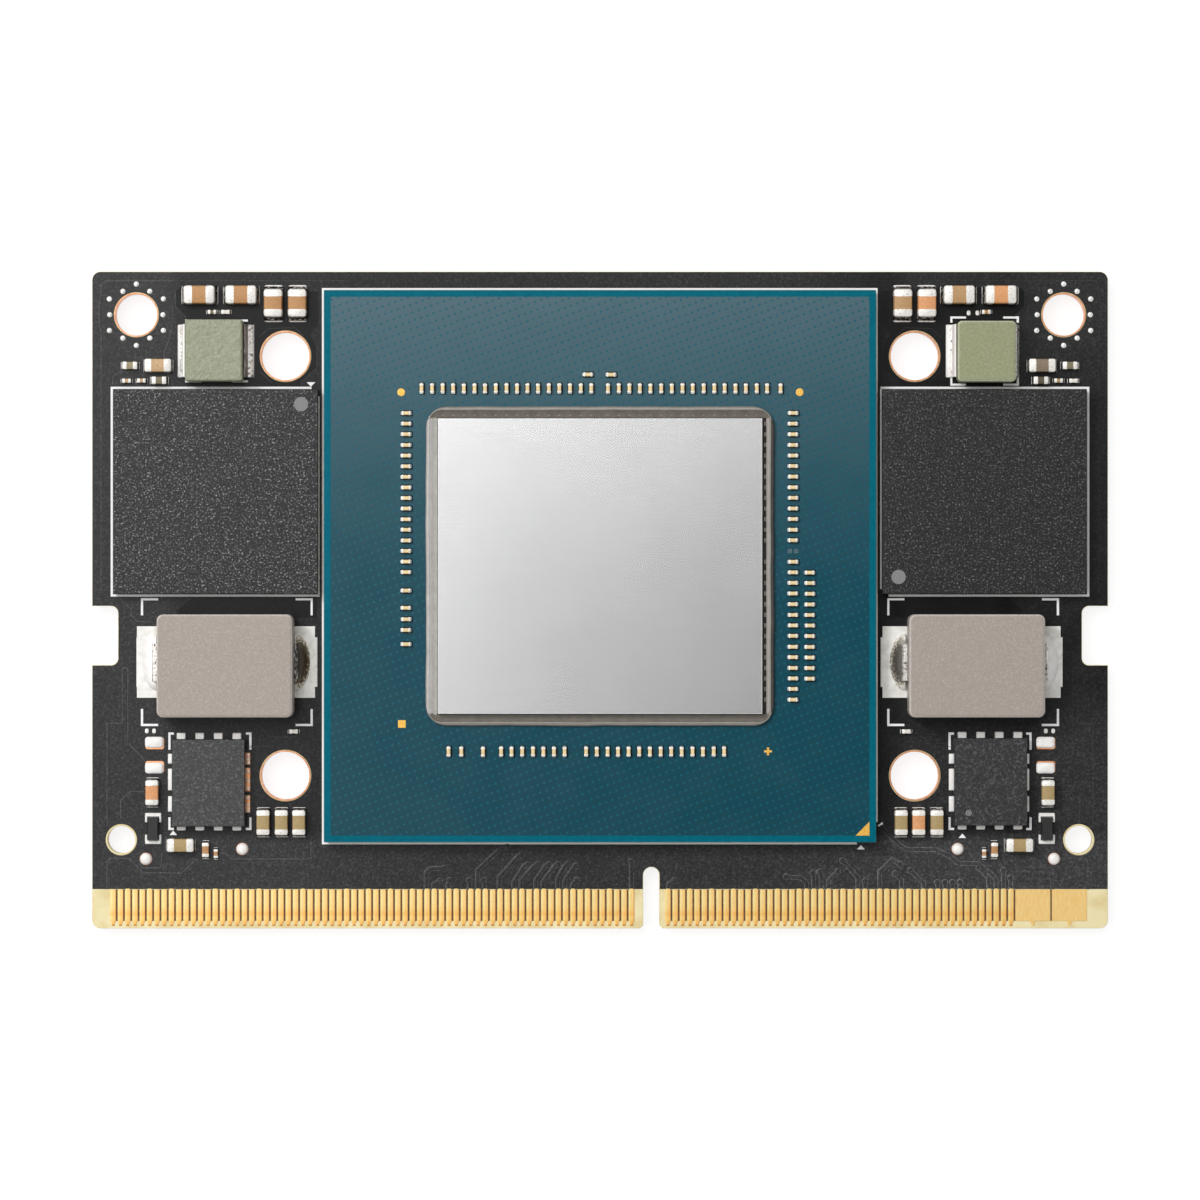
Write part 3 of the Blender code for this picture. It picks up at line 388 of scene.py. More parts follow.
mirror_solder = new_material("mirror_solder", (248, 246, 242), 0.2, 0.95)
speckle(mirror_solder, 0.5, [(0.28, (214, 208, 202)), (0.4, (247, 245, 241)), (0.8, (253, 252, 250))],
        detail=3.0)
bumps(mirror_solder, 0.3, 0.01, 0.4)

tinned_land = new_material("tinned_land", (238, 236, 231), 0.42, 0.15)
speckle(tinned_land, 0.5, [(0.3, (218, 216, 210)), (0.55, (239, 237, 232)), (0.8, (247, 246, 244))],
        detail=4.0)
bumps(tinned_land, 0.3, 0.006, 0.5, detail=3.0)

strip_metal = new_material("terminal_strip", (110, 108, 108), 0.25, 0.4)
speckle(strip_metal, 0.3, [(0.38, (34, 32, 30)), (0.5, (104, 100, 98)), (0.62, (222, 220, 218))],
        stretch=(4.0, 1.0, 1.0), detail=3.0)
bumps(strip_metal, 0.2, 0.02, 0.6, stretch=(3.0, 0.6, 1.0))
print("metals made")

# %% [markdown]
# ## Ceramics and mouldings
#
# Chip capacitors are fired in different clays, from brown to khaki and orange. Packages are
# moulded from black resin full of glass dust, which sparkles. The inductors are pressed iron
# powder under a thin lacquer. One function makes each family, with its own colour and grain.

# %% Ceramics
def new_ceramic(name, rgb, size=0.12):
    """Matt fired clay with a faint mottle."""
    darker = tuple(step * 0.93 for step in rgb)
    lighter = tuple(min(255, step * 1.05) for step in rgb)
    material = new_material(name, rgb, 0.5, specular=0.4)
    speckle(material, size, [(0.3, darker), (0.7, lighter)], detail=4.0)
    bumps(material, 0.05, 0.002, 0.6)
    return material


CERAMICS = {
    "brown": new_ceramic("ceramic_brown", (188, 140, 93)),
    "khaki": new_ceramic("ceramic_khaki", (173, 149, 103)),
    "sand": new_ceramic("ceramic_sand", (186, 147, 103)),
    "orange": new_ceramic("ceramic_orange", (222, 158, 108)),
    "tan": new_ceramic("ceramic_tan", (199, 165, 125)),
    "grey": new_ceramic("ceramic_grey_brown", (134, 118, 98)),
    "light olive": new_ceramic("ceramic_light_olive", (154, 142, 112)),
    "olive": new_ceramic("ceramic_olive", (124, 117, 90)),
    "dark olive": new_ceramic("ceramic_dark_olive", (90, 84, 64)),
    "pale": new_ceramic("ceramic_pale", (238, 232, 220)),
    "cream": new_ceramic("ceramic_cream_painted_light", (234, 212, 160), 0.2),
}
print("ceramics:", ", ".join(CERAMICS))

# %% Mouldings and pressed bodies
def memory_finish(name, greys):
    """Black resin full of glass dust, which sparkles; the two copies are painted lighter and darker as
    light and shade.
    """
    material = new_material(name, (46, 46, 47), 0.42, specular=0.4)
    stops = [(place, (grey, grey, grey + 1)) for place, grey in zip((0.36, 0.48, 0.6, 0.72), greys)]
    speckle(material, 0.12, stops, detail=3.0)
    bumps(material, 0.16, 0.02, 0.6, detail=4.0)
    return material


# painted light on the left memory and painted shade on the right
MEMORY_LIT_AND_SHADED_SKINS = {
    "left": memory_finish("memory_mould_painted_light", (0, 8, 60, 170)),
    "right": memory_finish("memory_mould_painted_shade", (2, 10, 46, 122)),
}

stage_mould = new_material("stage_mould", (48, 48, 49), 0.36, specular=0.6)
speckle(stage_mould, 0.15, [(0.36, (26, 26, 27)), (0.54, (44, 44, 45)), (0.7, (92, 92, 93))],
        detail=4.0)
bumps(stage_mould, 0.14, 0.012, 0.6, detail=3.0)

diode_mould = new_material("diode_mould", (30, 30, 31), 0.45, specular=0.4)
speckle(diode_mould, 0.06, [(0.35, (24, 24, 25)), (0.7, (44, 44, 45))])
bumps(diode_mould, 0.06, 0.004, 0.6)

iron_body = new_material("pressed_iron", (172, 162, 153), 0.45, specular=0.4)
speckle(iron_body, 0.11, [(0.36, (160, 150, 141)), (0.6, (170, 160, 151)), (0.74, (190, 181, 172))],
        detail=4.0)
bumps(iron_body, 0.14, 0.004, 0.5, detail=3.0)

# painted highlight: a lighter copy for the round of the top edge
iron_painted_highlight = new_material("pressed_iron_painted_highlight", (208, 200, 192), 0.45, specular=0.4)
speckle(iron_painted_highlight, 0.12, [(0.36, (196, 187, 179)), (0.7, (218, 211, 204))], detail=4.0)
bumps(iron_painted_highlight, 0.14, 0.004, 0.5, detail=3.0)

choke_rough = new_material("choke_powder_rough", (152, 155, 132), 0.5, specular=0.4)
speckle(choke_rough, 0.25, [(0.32, (147, 151, 127)), (0.55, (157, 160, 137)), (0.75, (168, 171, 149))],
        detail=3.0)
bumps(choke_rough, 0.2, 0.12, 1.0, detail=2.0)

# painted highlight: a lighter copy for the round of the top edge
choke_painted_highlight = new_material("choke_powder_painted_highlight", (180, 184, 156), 0.55, specular=0.4)
speckle(choke_painted_highlight, 0.2, [(0.3, (168, 172, 142)), (0.7, (194, 198, 172))], detail=4.0)
bumps(choke_painted_highlight, 0.2, 0.01, 0.5, detail=3.0)

choke_smooth = new_material("choke_powder_smooth", (149, 153, 118), 0.5, specular=0.4)
speckle(choke_smooth, 0.16, [(0.32, (140, 144, 109)), (0.7, (157, 161, 127))], detail=4.0)
bumps(choke_smooth, 0.16, 0.008, 0.5, detail=3.0)

# painted shadow: the riser of one choke clip, which lies in the choke's shadow
riser = new_material("riser_painted_shadow", (96, 84, 76), 0.35, 0.3)
speckle(riser, 0.25, [(0.3, (52, 44, 40)), (0.5, (104, 92, 84)), (0.7, (168, 158, 150))],
        stretch=(3.0, 0.4, 1.0), detail=4.0)
bumps(riser, 0.2, 0.01, 0.6, stretch=(3.0, 0.4, 1.0))

marking_grey = new_material("marking_grey", (132, 132, 133), 0.55, specular=0.3)
speckle(marking_grey, 0.06, [(0.3, (112, 112, 113)), (0.7, (150, 150, 151))])
print("mouldings made")

# %% [markdown]
# ## The processor package: teal mask, resin and silicon
#
# The package is a small circuit board of its own under a teal mask. A copper plane lies below its
# inner field and has a slanting grid of tiny openings, which show as greener dots. The grid could
# be five thousand small pits, but it is so faint that a pattern in the shader does as well. The
# silicon die was ground flat, so it has faint streaks and a silky reflection of the lamps.

# %% A slanting grid of dots
FIRST_STEP = Vector((0.427, 0.153))
SECOND_STEP = Vector((0.165, -0.51))
DOT_RADIUS = 0.085


def dot_grid(material):
    """1 inside the dots and 0 outside, for a slanting grid with the two steps above."""
    place = add_node(material, "ShaderNodeTexCoord").outputs["Object"]
    area = FIRST_STEP.x * SECOND_STEP.y - FIRST_STEP.y * SECOND_STEP.x
    across = (SECOND_STEP.y / area / MM, -SECOND_STEP.x / area / MM, 0.0)
    along = (-FIRST_STEP.y / area / MM, FIRST_STEP.x / area / MM, 0.0)
    joined = add_node(material, "ShaderNodeCombineXYZ")
    for number, (axis, step) in enumerate(((across, FIRST_STEP), (along, SECOND_STEP))):
        dot = add_node(material, "ShaderNodeVectorMath", {1: axis}, operation="DOT_PRODUCT")
        join(material, place, dot.inputs[0])
        share = compute(material, "FRACT", dot.outputs["Value"])
        centred = compute(material, "SUBTRACT", share, {1: 0.5})
        scaled = compute(material, "MULTIPLY", centred, {1: step.length})
        join(material, scaled, joined.inputs[number])
    reach = add_node(material, "ShaderNodeVectorMath", operation="LENGTH")
    join(material, joined.outputs[0], reach.inputs[0])
    edge = add_node(
        material, "ShaderNodeMapRange",
        {"From Min": DOT_RADIUS * 0.6, "From Max": DOT_RADIUS * 1.3, "To Min": 1.0, "To Max": 0.0},
    )
    join(material, reach.outputs["Value"], edge.inputs["Value"])
    return edge.outputs["Result"]


# %% Teal field and border
teal_field = new_material("teal_field", (28, 72, 84), 0.25, specular=0.3)
# painted light: the field is lighter towards the top
field_painted_light = ramp(teal_field, position(teal_field, "Y", -16.0, 21.0), [
    (0.0, (16, 70, 83)), (0.43, (12, 71, 85)), (0.65, (36, 81, 93)), (1.0, (72, 101, 111)),
])
field_dots = dot_grid(teal_field)
field_mix = add_node(teal_field, "ShaderNodeMix", {7: paint((16, 88, 108))}, data_type="RGBA")
join(teal_field, field_dots, field_mix.inputs[0])
join(teal_field, field_painted_light, field_mix.inputs[6])
join(teal_field, field_mix.outputs[2], shader_of(teal_field).inputs["Base Color"])
field_bump = bumps(teal_field, 0.3, 0.001, 0.3, detail=3.0)
field_pits = add_node(teal_field, "ShaderNodeBump", {"Strength": 0.25, "Distance": 0.01 * MM},
                      invert=True)
join(teal_field, field_dots, field_pits.inputs["Height"])
join(teal_field, field_pits.outputs["Normal"], field_bump.inputs["Normal"])
uneven(teal_field, 2.5, 0.22, 0.28)

teal_border = new_material("teal_border", (0, 100, 119), 0.35, specular=0.06)
speckle(teal_border, 0.3, [(0.3, (0, 96, 115)), (0.7, (3, 105, 123))], detail=3.0)
bumps(teal_border, 0.1, 0.002, 0.4)

package_core = new_material("package_laminate", (108, 112, 82), 0.5, specular=0.4)
speckle(package_core, 0.35, [(0.3, (84, 90, 62)), (0.55, (118, 120, 88)), (0.8, (140, 138, 104))],
        stretch=(0.4, 0.4, 6.0), detail=3.0)
bumps(package_core, 0.1, 0.004, 0.6, stretch=(1.0, 1.0, 3.0))
# painted shadow: dark plates round the tiny capacitors, shifted to their right
chip_shadow_paint = new_material("laminate_in_painted_chip_shadow", (8, 34, 42), 0.5, specular=0.1)
speckle(chip_shadow_paint, 0.1, [(0.3, (4, 26, 33)), (0.7, (14, 44, 52))])
dull_pad = new_material("empty_pad", (70, 98, 108), 0.4, specular=0.3)
speckle(dull_pad, 0.15, [(0.3, (56, 88, 100)), (0.7, (86, 108, 116))])
print("package laminates made")

# %% Silicon and underfill
silicon = new_material("ground_silicon", (234, 234, 235), 0.26, 0.97)
speckle(silicon, 0.6, [(0.3, (231, 231, 232)), (0.7, (236, 236, 237))],
        stretch=(0.3, 3.0, 1.0), detail=4.0)
uneven(silicon, 6.0, 0.258, 0.266)

resin = new_material("underfill_resin", (138, 133, 125), 0.16, specular=0.6)
speckle(resin, 0.6, [(0.3, (132, 127, 119)), (0.6, (139, 134, 126)), (0.8, (146, 141, 134))],
        detail=3.0)
uneven(resin, 0.8, 0.12, 0.2)
shader_of(resin).inputs["Coat Weight"].default_value = 0.3
shader_of(resin).inputs["Coat Roughness"].default_value = 0.1
shader_of(resin).inputs["Coat IOR"].default_value = 1.7

# lit and shaded copies of the resin: painted shade in the trough, the line beside the die and the
# right roll; a painted highlight on the left roll and painted light in the left trough
resin_trough_painted_shade = new_material("resin_trough_painted_shade", (104, 99, 90), 0.4, specular=0.2)
speckle(resin_trough_painted_shade, 0.5, [(0.3, (96, 91, 83)), (0.7, (112, 107, 98))], detail=3.0)
bumps(resin_trough_painted_shade, 0.3, 0.01, 0.5)
resin_line_painted_shade = new_material("resin_line_painted_shade", (52, 48, 44), 0.5, specular=0.1)
speckle(resin_line_painted_shade, 0.3, [(0.3, (44, 40, 36)), (0.7, (62, 58, 52))])
resin_painted_shade_right = new_material("resin_painted_shade_right", (72, 70, 66), 0.22, specular=0.3)
speckle(resin_painted_shade_right, 0.6, [(0.3, (66, 64, 60)), (0.7, (80, 77, 73))], detail=3.0)
uneven(resin_painted_shade_right, 0.8, 0.18, 0.26)
resin_painted_highlight_left = new_material("resin_painted_highlight_left", (178, 175, 171), 0.16, specular=1.0)
speckle(resin_painted_highlight_left, 0.8, [(0.3, (170, 166, 162)), (0.7, (186, 183, 179))], detail=3.0)
uneven(resin_painted_highlight_left, 0.8, 0.12, 0.2)
resin_lit = new_material("resin_lit", (168, 167, 160), 0.35, specular=0.3)
speckle(resin_lit, 0.5, [(0.3, (160, 158, 151)), (0.7, (176, 175, 168))], detail=3.0)
bumps(resin_lit, 0.3, 0.01, 0.5)
resin_glint = new_material("resin_glint", (152, 146, 136), 0.35, specular=0.3)
speckle(resin_glint, 0.2, [(0.3, (140, 134, 124)), (0.7, (166, 160, 150))])
print("die and resin made")

# %% [markdown]
# ## Helpers for shapes
#
# Most of what lies on a circuit board is one of four shapes: a skin through rings of points, a
# turned shape, a flat ribbon along a route, or a sheet cut with holes. The first three are a few
# lines of mesh code. For the sheet, Blender's flat curves fill themselves between outlines, holes
# included, and round their own edges, which is simpler than cutting with Booleans.

# %% Outlines
def arc(centre, radius, start, end, steps):
    points = []
    for step in range(steps + 1):
        angle = math.radians(start + (end - start) * step / steps)
        points.append((centre[0] + radius * math.cos(angle), centre[1] + radius * math.sin(angle)))
    return points


def circle(centre, radius, steps):
    return arc(centre, radius, 0, 360, steps)[:-1]


def rounded(centre, length, width, radius, steps=4):
    """A rectangle with round corners, counter-clockwise."""
    x, y = length / 2 - radius, width / 2 - radius
    corners = ((x, -y, -90), (x, y, 0), (-x, y, 90), (-x, -y, 180))
    points = []
    for cx, cy, start in corners:
        points += arc((centre[0] + cx, centre[1] + cy), radius, start, start + 90, steps)
    return points


def level(outline, height):
    return [(x, y, height) for x, y in outline]


# %% Skins, turned shapes, ribbons
def loft(mesh, rings, slot=0, ends=True):
    """A skin through rings with as many points each. Without ends the last joins the first."""
    levels = [[mesh.verts.new(point) for point in points] for points in rings]
    faces = []
    pairs = list(zip(levels, levels[1:]))
    if ends:
        faces += [mesh.faces.new(levels[0][::-1]), mesh.faces.new(levels[-1])]
    else:
        pairs.append((levels[-1], levels[0]))
    for lower, upper in pairs:
        for i in range(len(lower)):
            j = (i + 1) % len(lower)
            faces.append(mesh.faces.new((lower[i], lower[j], upper[j], upper[i])))
    for face in faces:
        face.material_index = slot
    return faces


def block(mesh, outline, low, high, slot=0):
    return loft(mesh, [level(outline, low), level(outline, high)], slot)


def turned(mesh, centre, profile, steps, slot=0, ends=True):
    """A shape turned on a lathe, from (radius, height) pairs."""
    rings = [level(circle(centre, radius, steps), height) for radius, height in profile]
    return loft(mesh, rings, slot, ends)


def ribbon(mesh, route, width, low, high, slot=0, slope=0.02, edge_slot=None):
    """A flat strip along a route of points, with mitred corners and sloping edges."""
    route = [Vector(point) for point in route]
    rings = []
    for i, point in enumerate(route):
        ways = []
        if i > 0:
            ways.append((point - route[i - 1]).normalized())
        if i < len(route) - 1:
            ways.append((route[i + 1] - point).normalized())
        way = sum(ways, Vector((0.0, 0.0))).normalized()
        across = Vector((-way.y, way.x)) / max(0.5, way.dot(ways[0]))
        wide, narrow = across * width / 2, across * (width / 2 - slope)
        rings.append([
            (*(point - wide), low), (*(point + wide), low),
            (*(point + narrow), high), (*(point - narrow), high),
        ])
    faces = loft(mesh, rings, slot)
    if edge_slot is not None:
        for number, face in enumerate(faces[2:]):
            if number % 4 in (1, 3):
                face.material_index = edge_slot
    return faces


# %% Cut sheets
def sheet(mesh, outlines, low, high, edge=0.0, slot=0):
    """A flat piece with holes and round edges, filled by a flat curve between its outlines."""
    curve = bpy.data.curves.new("sheet", "CURVE")
    curve.dimensions = "2D"
    curve.fill_mode = "BOTH"
    curve.extrude = (high - low) / 2 - edge
    curve.bevel_depth = edge
    curve.bevel_resolution = 1
    curve.offset = -edge
    for outline in outlines:
        spline = curve.splines.new("POLY")
        spline.points.add(len(outline) - 1)
        for point, (x, y) in zip(spline.points, outline):
            point.co = (x, y, 0.0, 1.0)
        spline.use_cyclic_u = True
    holder = bpy.data.objects.new("sheet", curve)
    bpy.context.scene.collection.objects.link(holder)
    graph = bpy.context.evaluated_depsgraph_get()
    filled = bpy.data.meshes.new_from_object(holder.evaluated_get(graph))
    filled.transform(Matrix.Translation((0.0, 0.0, (low + high) / 2)))
    first = len(mesh.faces)
    mesh.from_mesh(filled)
    mesh.faces.ensure_lookup_table()
    fresh = mesh.faces[first:]
    for face in fresh:
        face.material_index = slot
    corners = {vert for face in fresh for vert in face.verts}
    bmesh.ops.remove_doubles(mesh, verts=list(corners), dist=0.0004)
    bpy.data.objects.remove(holder)
    bpy.data.meshes.remove(filled)
    bpy.data.curves.remove(curve)


# %% Finishing a piece
def add_piece(name, mesh, materials, replaces=(), crease=35):
    """Turns a mesh drawn in millimetres into a piece that rides on the module."""
    bmesh.ops.scale(mesh, vec=(MM, MM, MM), verts=mesh.verts)
    bmesh.ops.recalc_face_normals(mesh, faces=mesh.faces)
    data = bpy.data.meshes.new(name)
    mesh.to_mesh(data)
    mesh.free()
    data.shade_smooth()
    data.set_sharp_from_angle(angle=math.radians(crease))
    for material in materials:
        data.materials.append(material)
    piece = bpy.data.objects.new(name, data)
    bpy.context.scene.collection.objects.link(piece)
    weighted = piece.modifiers.new("flat_faces_stay_flat", "WEIGHTED_NORMAL")
    weighted.keep_sharp = True
    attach(piece, "root")
    if replaces:
        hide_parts(*replaces)
    print(name, len(data.polygons), "faces")
    return piece


# %% [markdown]
# ## The board
#
# The real board is pressed from glass cloth and copper, then routed to its outline. Here it is
# one cut sheet of laminate, with thinner cut sheets of mask on both faces that stop short of the
# connector tongue. The outline is the same list of corners as in the solids.

# %% Outline and holes
CORNER = 0.57
LATCH_X = 33.02
LATCH_TOP = -0.42
LATCH_LOW = -4.46
LATCH_ROUND = 0.5
KEY_X = 3.51
KEY_HALF = 0.55
KEY_TOP = -18.3
KEY_CHAMFER = 0.22


def board_outline(inset=0.0, bottom=-HALF_WIDTH):
    """Counter-clockwise from the key notch, drawn a little inside the board's edge if asked."""
    end, top = HALF_LENGTH - inset, HALF_WIDTH - inset
    turn = CORNER - inset
    key = KEY_HALF + inset
    low = bottom + inset
    latch_x = LATCH_X - inset
    inner = LATCH_ROUND
    chamfer = KEY_CHAMFER if bottom == -HALF_WIDTH else 0.0
    corner = turn if bottom == -HALF_WIDTH else 0.0
    bottom_right = arc((end - turn, low + turn), turn, -90, 0, 5) if corner else [(end, low)]
    bottom_left = arc((-end + turn, low + turn), turn, 180, 270, 5) if corner else [(-end, low)]
    notch = arc((KEY_X, KEY_TOP - KEY_HALF), key, 180, 0, 12)
    sides = [(KEY_X - key - chamfer, low), (KEY_X - key, low + chamfer)] if chamfer else [
        (KEY_X - key, low)]
    other = [(KEY_X + key, low + chamfer), (KEY_X + key + chamfer, low)] if chamfer else [
        (KEY_X + key, low)]
    latch_low, latch_top = LATCH_LOW - inset, LATCH_TOP + inset
    return [
        *sides, *notch, *other, *bottom_right,
        (end, latch_low),
        *arc((latch_x + inner, latch_low + inner), inner, 270, 180, 5),
        *arc((latch_x + inner, latch_top - inner), inner, 180, 90, 5),
        (end, latch_top),
        *arc((end - turn, top - turn), turn, 0, 90, 5),
        *arc((-end + turn, top - turn), turn, 90, 180, 5),
        (-end, latch_top),
        *arc((-latch_x - inner, latch_top - inner), inner, 90, 0, 5),
        *arc((-latch_x - inner, latch_low + inner), inner, 0, -90, 5),
        (-end, latch_low),
        *bottom_left,
    ]


FIXING_HOLE = (31.76, 19.54)
COOLER_HOLE = (21.55, 16.7)
COOLER_RIM = 1.74
# place on the right half, bore, rim and kind
HOLE_KINDS = (
    (FIXING_HOLE, 1.44, 1.515, "fixing"),
    (COOLER_HOLE, 1.65, COOLER_RIM, "cooler"),
    ((21.55, -12.03), 1.65, COOLER_RIM, "cooler"),
    ((32.79, -16.42), 0.96, 1.04, "locating"),
)
HOLES = [
    ((side * x, y), bore, rim, kind) for _, side in SIDES for (x, y), bore, rim, kind in HOLE_KINDS
]
print(len(HOLES), "holes,", len(board_outline()), "corners in the outline")

# %% Laminate core and mask
HOLE_STEPS = 48
MASK_INSET = 0.03
MASK_CLEARANCE = 0.03
EDGE = 0.03

core = bmesh.new()
bores = [circle(centre, bore, HOLE_STEPS) for centre, bore, _, _ in HOLES]
sheet(core, [board_outline()] + bores, BOARD_LOW + MASK, BOARD_TOP - MASK, EDGE)
add_piece("board_core", core, [laminate], ["circuit_board"], 20)

openings = [circle(centre, rim + MASK_CLEARANCE, HOLE_STEPS) for centre, _, rim, _ in HOLES]
for name, low, high in (
    ("mask_top", BOARD_TOP - MASK, BOARD_TOP), ("mask_bottom", BOARD_LOW, BOARD_LOW + MASK),
):
    lacquer = bmesh.new()
    sheet(lacquer, [board_outline(MASK_INSET, MASK_END)] + openings, low, high, 0.006)
    add_piece(name, lacquer, [mask], crease=20)

# the mask is painted darker here as shade between tall parts: round the chokes, below the memories and
# beside them
PAINTED_SHADE_AREAS = (
    [(-28.35, 14.64), (-20.5, 14.64), (-20.5, 14.9), (-19.42, 15.9), (-19.42, 17.4), (-19.9, 18.2),
     (-19.3, 18.8), (-19.3, 21.15), (-28.75, 21.46), (-29.04, 21.2), (-29.04, 20.12),
     (-28.35, 19.42)],
    [(-28.9, -1.2), (-19.4, -1.2), (-19.4, 0.18), (-28.05, 0.18), (-28.9, -0.55)],
    [(-19.5, 0.45), (-18.7, 0.45), (-18.7, 14.4), (-19.5, 14.4)],
)
darker = bmesh.new()
for _, side in SIDES:
    for number, area in enumerate(PAINTED_SHADE_AREAS):
        outlines = [[(-side * x, y) for x, y in area]]
        if number == 0:
            hole = (side * COOLER_HOLE[0], COOLER_HOLE[1])
            outlines.append(circle(hole, COOLER_RIM + MASK_CLEARANCE, HOLE_STEPS))
        sheet(darker, outlines, BOARD_TOP - 0.004, BOARD_TOP + 0.005, 0.003)
add_piece("mask_painted_shade", darker, [painted_shade_mask], crease=20)

# %% [markdown]
# ## Copper that shows through the mask
#
# Tracks and the edges of copper areas lift the mask by a hundredth of a millimetre or two, which
# draws faint lines on the black. They could be a bump map, but the real lines follow the wiring:
# from the contacts up to small round vias, and along the board's rim. So each is a flat ribbon
# along the route that the photograph shows, in mask of its own.

# %% Tracks from the contacts
TRACK_WIDTH = 0.36
TRACK_TOP = BOARD_TOP + 0.018
TRACK_SLOPE = 0.06
VIA_RADIUS = 0.25
VIA_STEPS = 20
TRACKS = [
    [(-10.66, -18.37), (-11.62, -18.37), (-11.92, -18.67), (-11.92, MASK_END)],
    [(-10.3, -19.2), (-10.42, -19.45), (-10.42, MASK_END)],
    [(-11.0, -19.25), (-11.42, -19.5), (-11.42, MASK_END)],
    [(-8.95, -19.2), (-8.92, MASK_END)],
    [(-6.34, -16.9), (-6.78, -16.97), (-8.39, -18.52), (-8.42, MASK_END)],
    [(-7.97, -19.2), (-7.92, MASK_END)],
    [(-5.37, -17.42), (-5.59, -17.49), (-6.92, -19.0), (-6.92, MASK_END)],
    [(-4.95, -18.12), (-5.2, -18.2), (-5.92, -19.3), (-5.92, MASK_END)],
    [(-4.3, -18.12), (-4.5, -18.2), (-5.42, -19.2), (-5.42, MASK_END)],
    [(-3.5, -18.12), (-3.75, -18.2), (-4.42, -19.2), (-4.42, MASK_END)],
    [(-2.9, -18.12), (-3.1, -18.2), (-3.92, -19.3), (-3.92, MASK_END)],
    [(-2.25, -18.12), (-2.45, -18.25), (-2.92, -19.1), (-2.92, MASK_END)],
    [(-1.68, -18.2), (-1.9, -18.45), (-2.42, -19.2), (-2.42, MASK_END)],
    [(-1.62, -19.2), (-1.9, -19.5), (-1.92, MASK_END)],
    [(2.13, -17.93), (2.15, MASK_END)],
    [(5.1, -19.2), (4.68, -19.5), (4.65, MASK_END)],
    [(12.76, -18.96), (13.79, -19.04), (14.15, -19.4), (14.15, MASK_END)],
    [(14.59, -18.7), (14.65, MASK_END)],
    [(15.05, -18.62), (15.15, -18.9), (15.15, MASK_END)],
    [(16.61, -17.86), (17.65, -19.0), (17.65, MASK_END)],
    [(16.3, -18.6), (15.65, -19.2), (15.65, MASK_END)],
    [(18.15, -19.25), (18.15, MASK_END)],
    [(20.55, -18.1), (20.03, -17.77), (19.15, -18.6), (19.15, MASK_END)],
    [(20.2, -18.75), (20.65, -19.2), (20.65, MASK_END)],
    [(21.25, -18.53), (22.15, -19.38), (22.15, MASK_END)],
    [(23.1, -19.34), (23.15, MASK_END)],
    [(23.62, -19.34), (23.65, MASK_END)],
    [(24.13, -19.34), (24.15, MASK_END)],
    [(24.66, -19.34), (24.65, MASK_END)],
    [(19.3, -15.6), (20.2, -16.5), (20.97, -17.1), (23.0, -17.1), (24.0, -17.55),
     (24.55, -18.03), (25.93, -18.05), (27.1, -19.04), (27.15, MASK_END)],
    [(25.96, -18.34), (26.61, -19.04), (26.65, MASK_END)],
    [(27.63, -18.53), (27.65, MASK_END)],
    [(28.11, -19.04), (28.15, MASK_END)],
]

tracks = bmesh.new()
for route in TRACKS:
    ribbon(tracks, route, TRACK_WIDTH, SUNK, TRACK_TOP, 0, TRACK_SLOPE, 1)
    profile = [
        (VIA_RADIUS, SUNK), (VIA_RADIUS - TRACK_SLOPE, TRACK_TOP + 0.001), (0.1, TRACK_TOP + 0.002),
        (0.06, TRACK_TOP - 0.004),
    ]
    faces = turned(tracks, route[0], profile, VIA_STEPS)
    for face in faces[2:2 + VIA_STEPS]:
        face.material_index = 1
add_piece("board_tracks", tracks, [mask, mask_over_copper])

# %% Edges of copper areas
POUR_LINE = 0.08
POUR_TOP = BOARD_TOP + 0.012
SHARED_EDGES = [
    [(-17.5, 21.86), (-28.72, 21.86), (-33.9, 21.86), (-34.17, 21.6), (-34.17, 20.9),
     (-34.3, 20.3), (-34.32, 19.5), (-34.3, 18.9), (-34.17, 18.3), (-34.17, 0.5)],
    [(-28.35, 19.36), (-29.08, 20.09), (-29.08, 21.22), (-28.75, 21.5), (-22.6, 21.5),
     (-22.2, 21.1)],
    [(-33.39, 14.75), (-33.39, 15.25), (-32.92, 15.64), (-31.41, 15.64)],
    [(-29.28, 20.2), (-29.3, 19.0), (-29.5, 17.9), (-29.85, 17.0), (-29.9, 16.2)],
    [(-31.19, -10.99), (-32.34, -9.78), (-32.34, -4.85), (-32.44, -4.63), (-32.62, -4.63),
     (-32.72, -4.85), (-32.72, -8.45), (-33.77, -8.45), (-33.77, -15.54)],
    [(-32.95, 0.25), (-32.11, -0.64), (-32.11, -1.08), (-31.68, -1.47), (-30.6, -1.5)],
    [(-32.84, -14.97), (-32.84, -13.76), (-32.19, -13.12), (-31.26, -13.12)],
    [(-23.88, -8.08), (-22.59, -9.39), (-20.94, -9.39), (-20.52, -8.93)],
    [(-24.0, -10.05), (-22.75, -10.05), (-22.2, -9.5)],
    [(-23.6, -13.2), (-23.1, -13.6), (-23.1, -14.3)],
    [(-20.5, 14.9), (-19.4, 15.9), (-19.4, 17.4)],
    [(-23.35, 15.7), (-22.5, 14.9)],
    [(-23.35, 18.0), (-22.7, 18.6), (-20.9, 18.65), (-20.3, 18.1)],
    [(-28.0, 0.15), (-28.9, -0.6)],
]
LEFT_EDGES = [
    [(-33.77, MASK_END), (-33.77, -17.95), (-33.47, -17.67), (-32.26, -17.71),
     (-31.33, -18.66), (-28.68, -18.71), (-27.61, -17.71)],
    [(-31.5, -17.2), (-31.5, -18.1), (-31.3, -18.35), (-30.1, -18.35), (-30.0, -17.3)],
    [(-26.1, -17.32), (-25.67, -17.32), (-25.24, -17.74), (-19.8, -17.74), (-19.8, -16.04)],
]
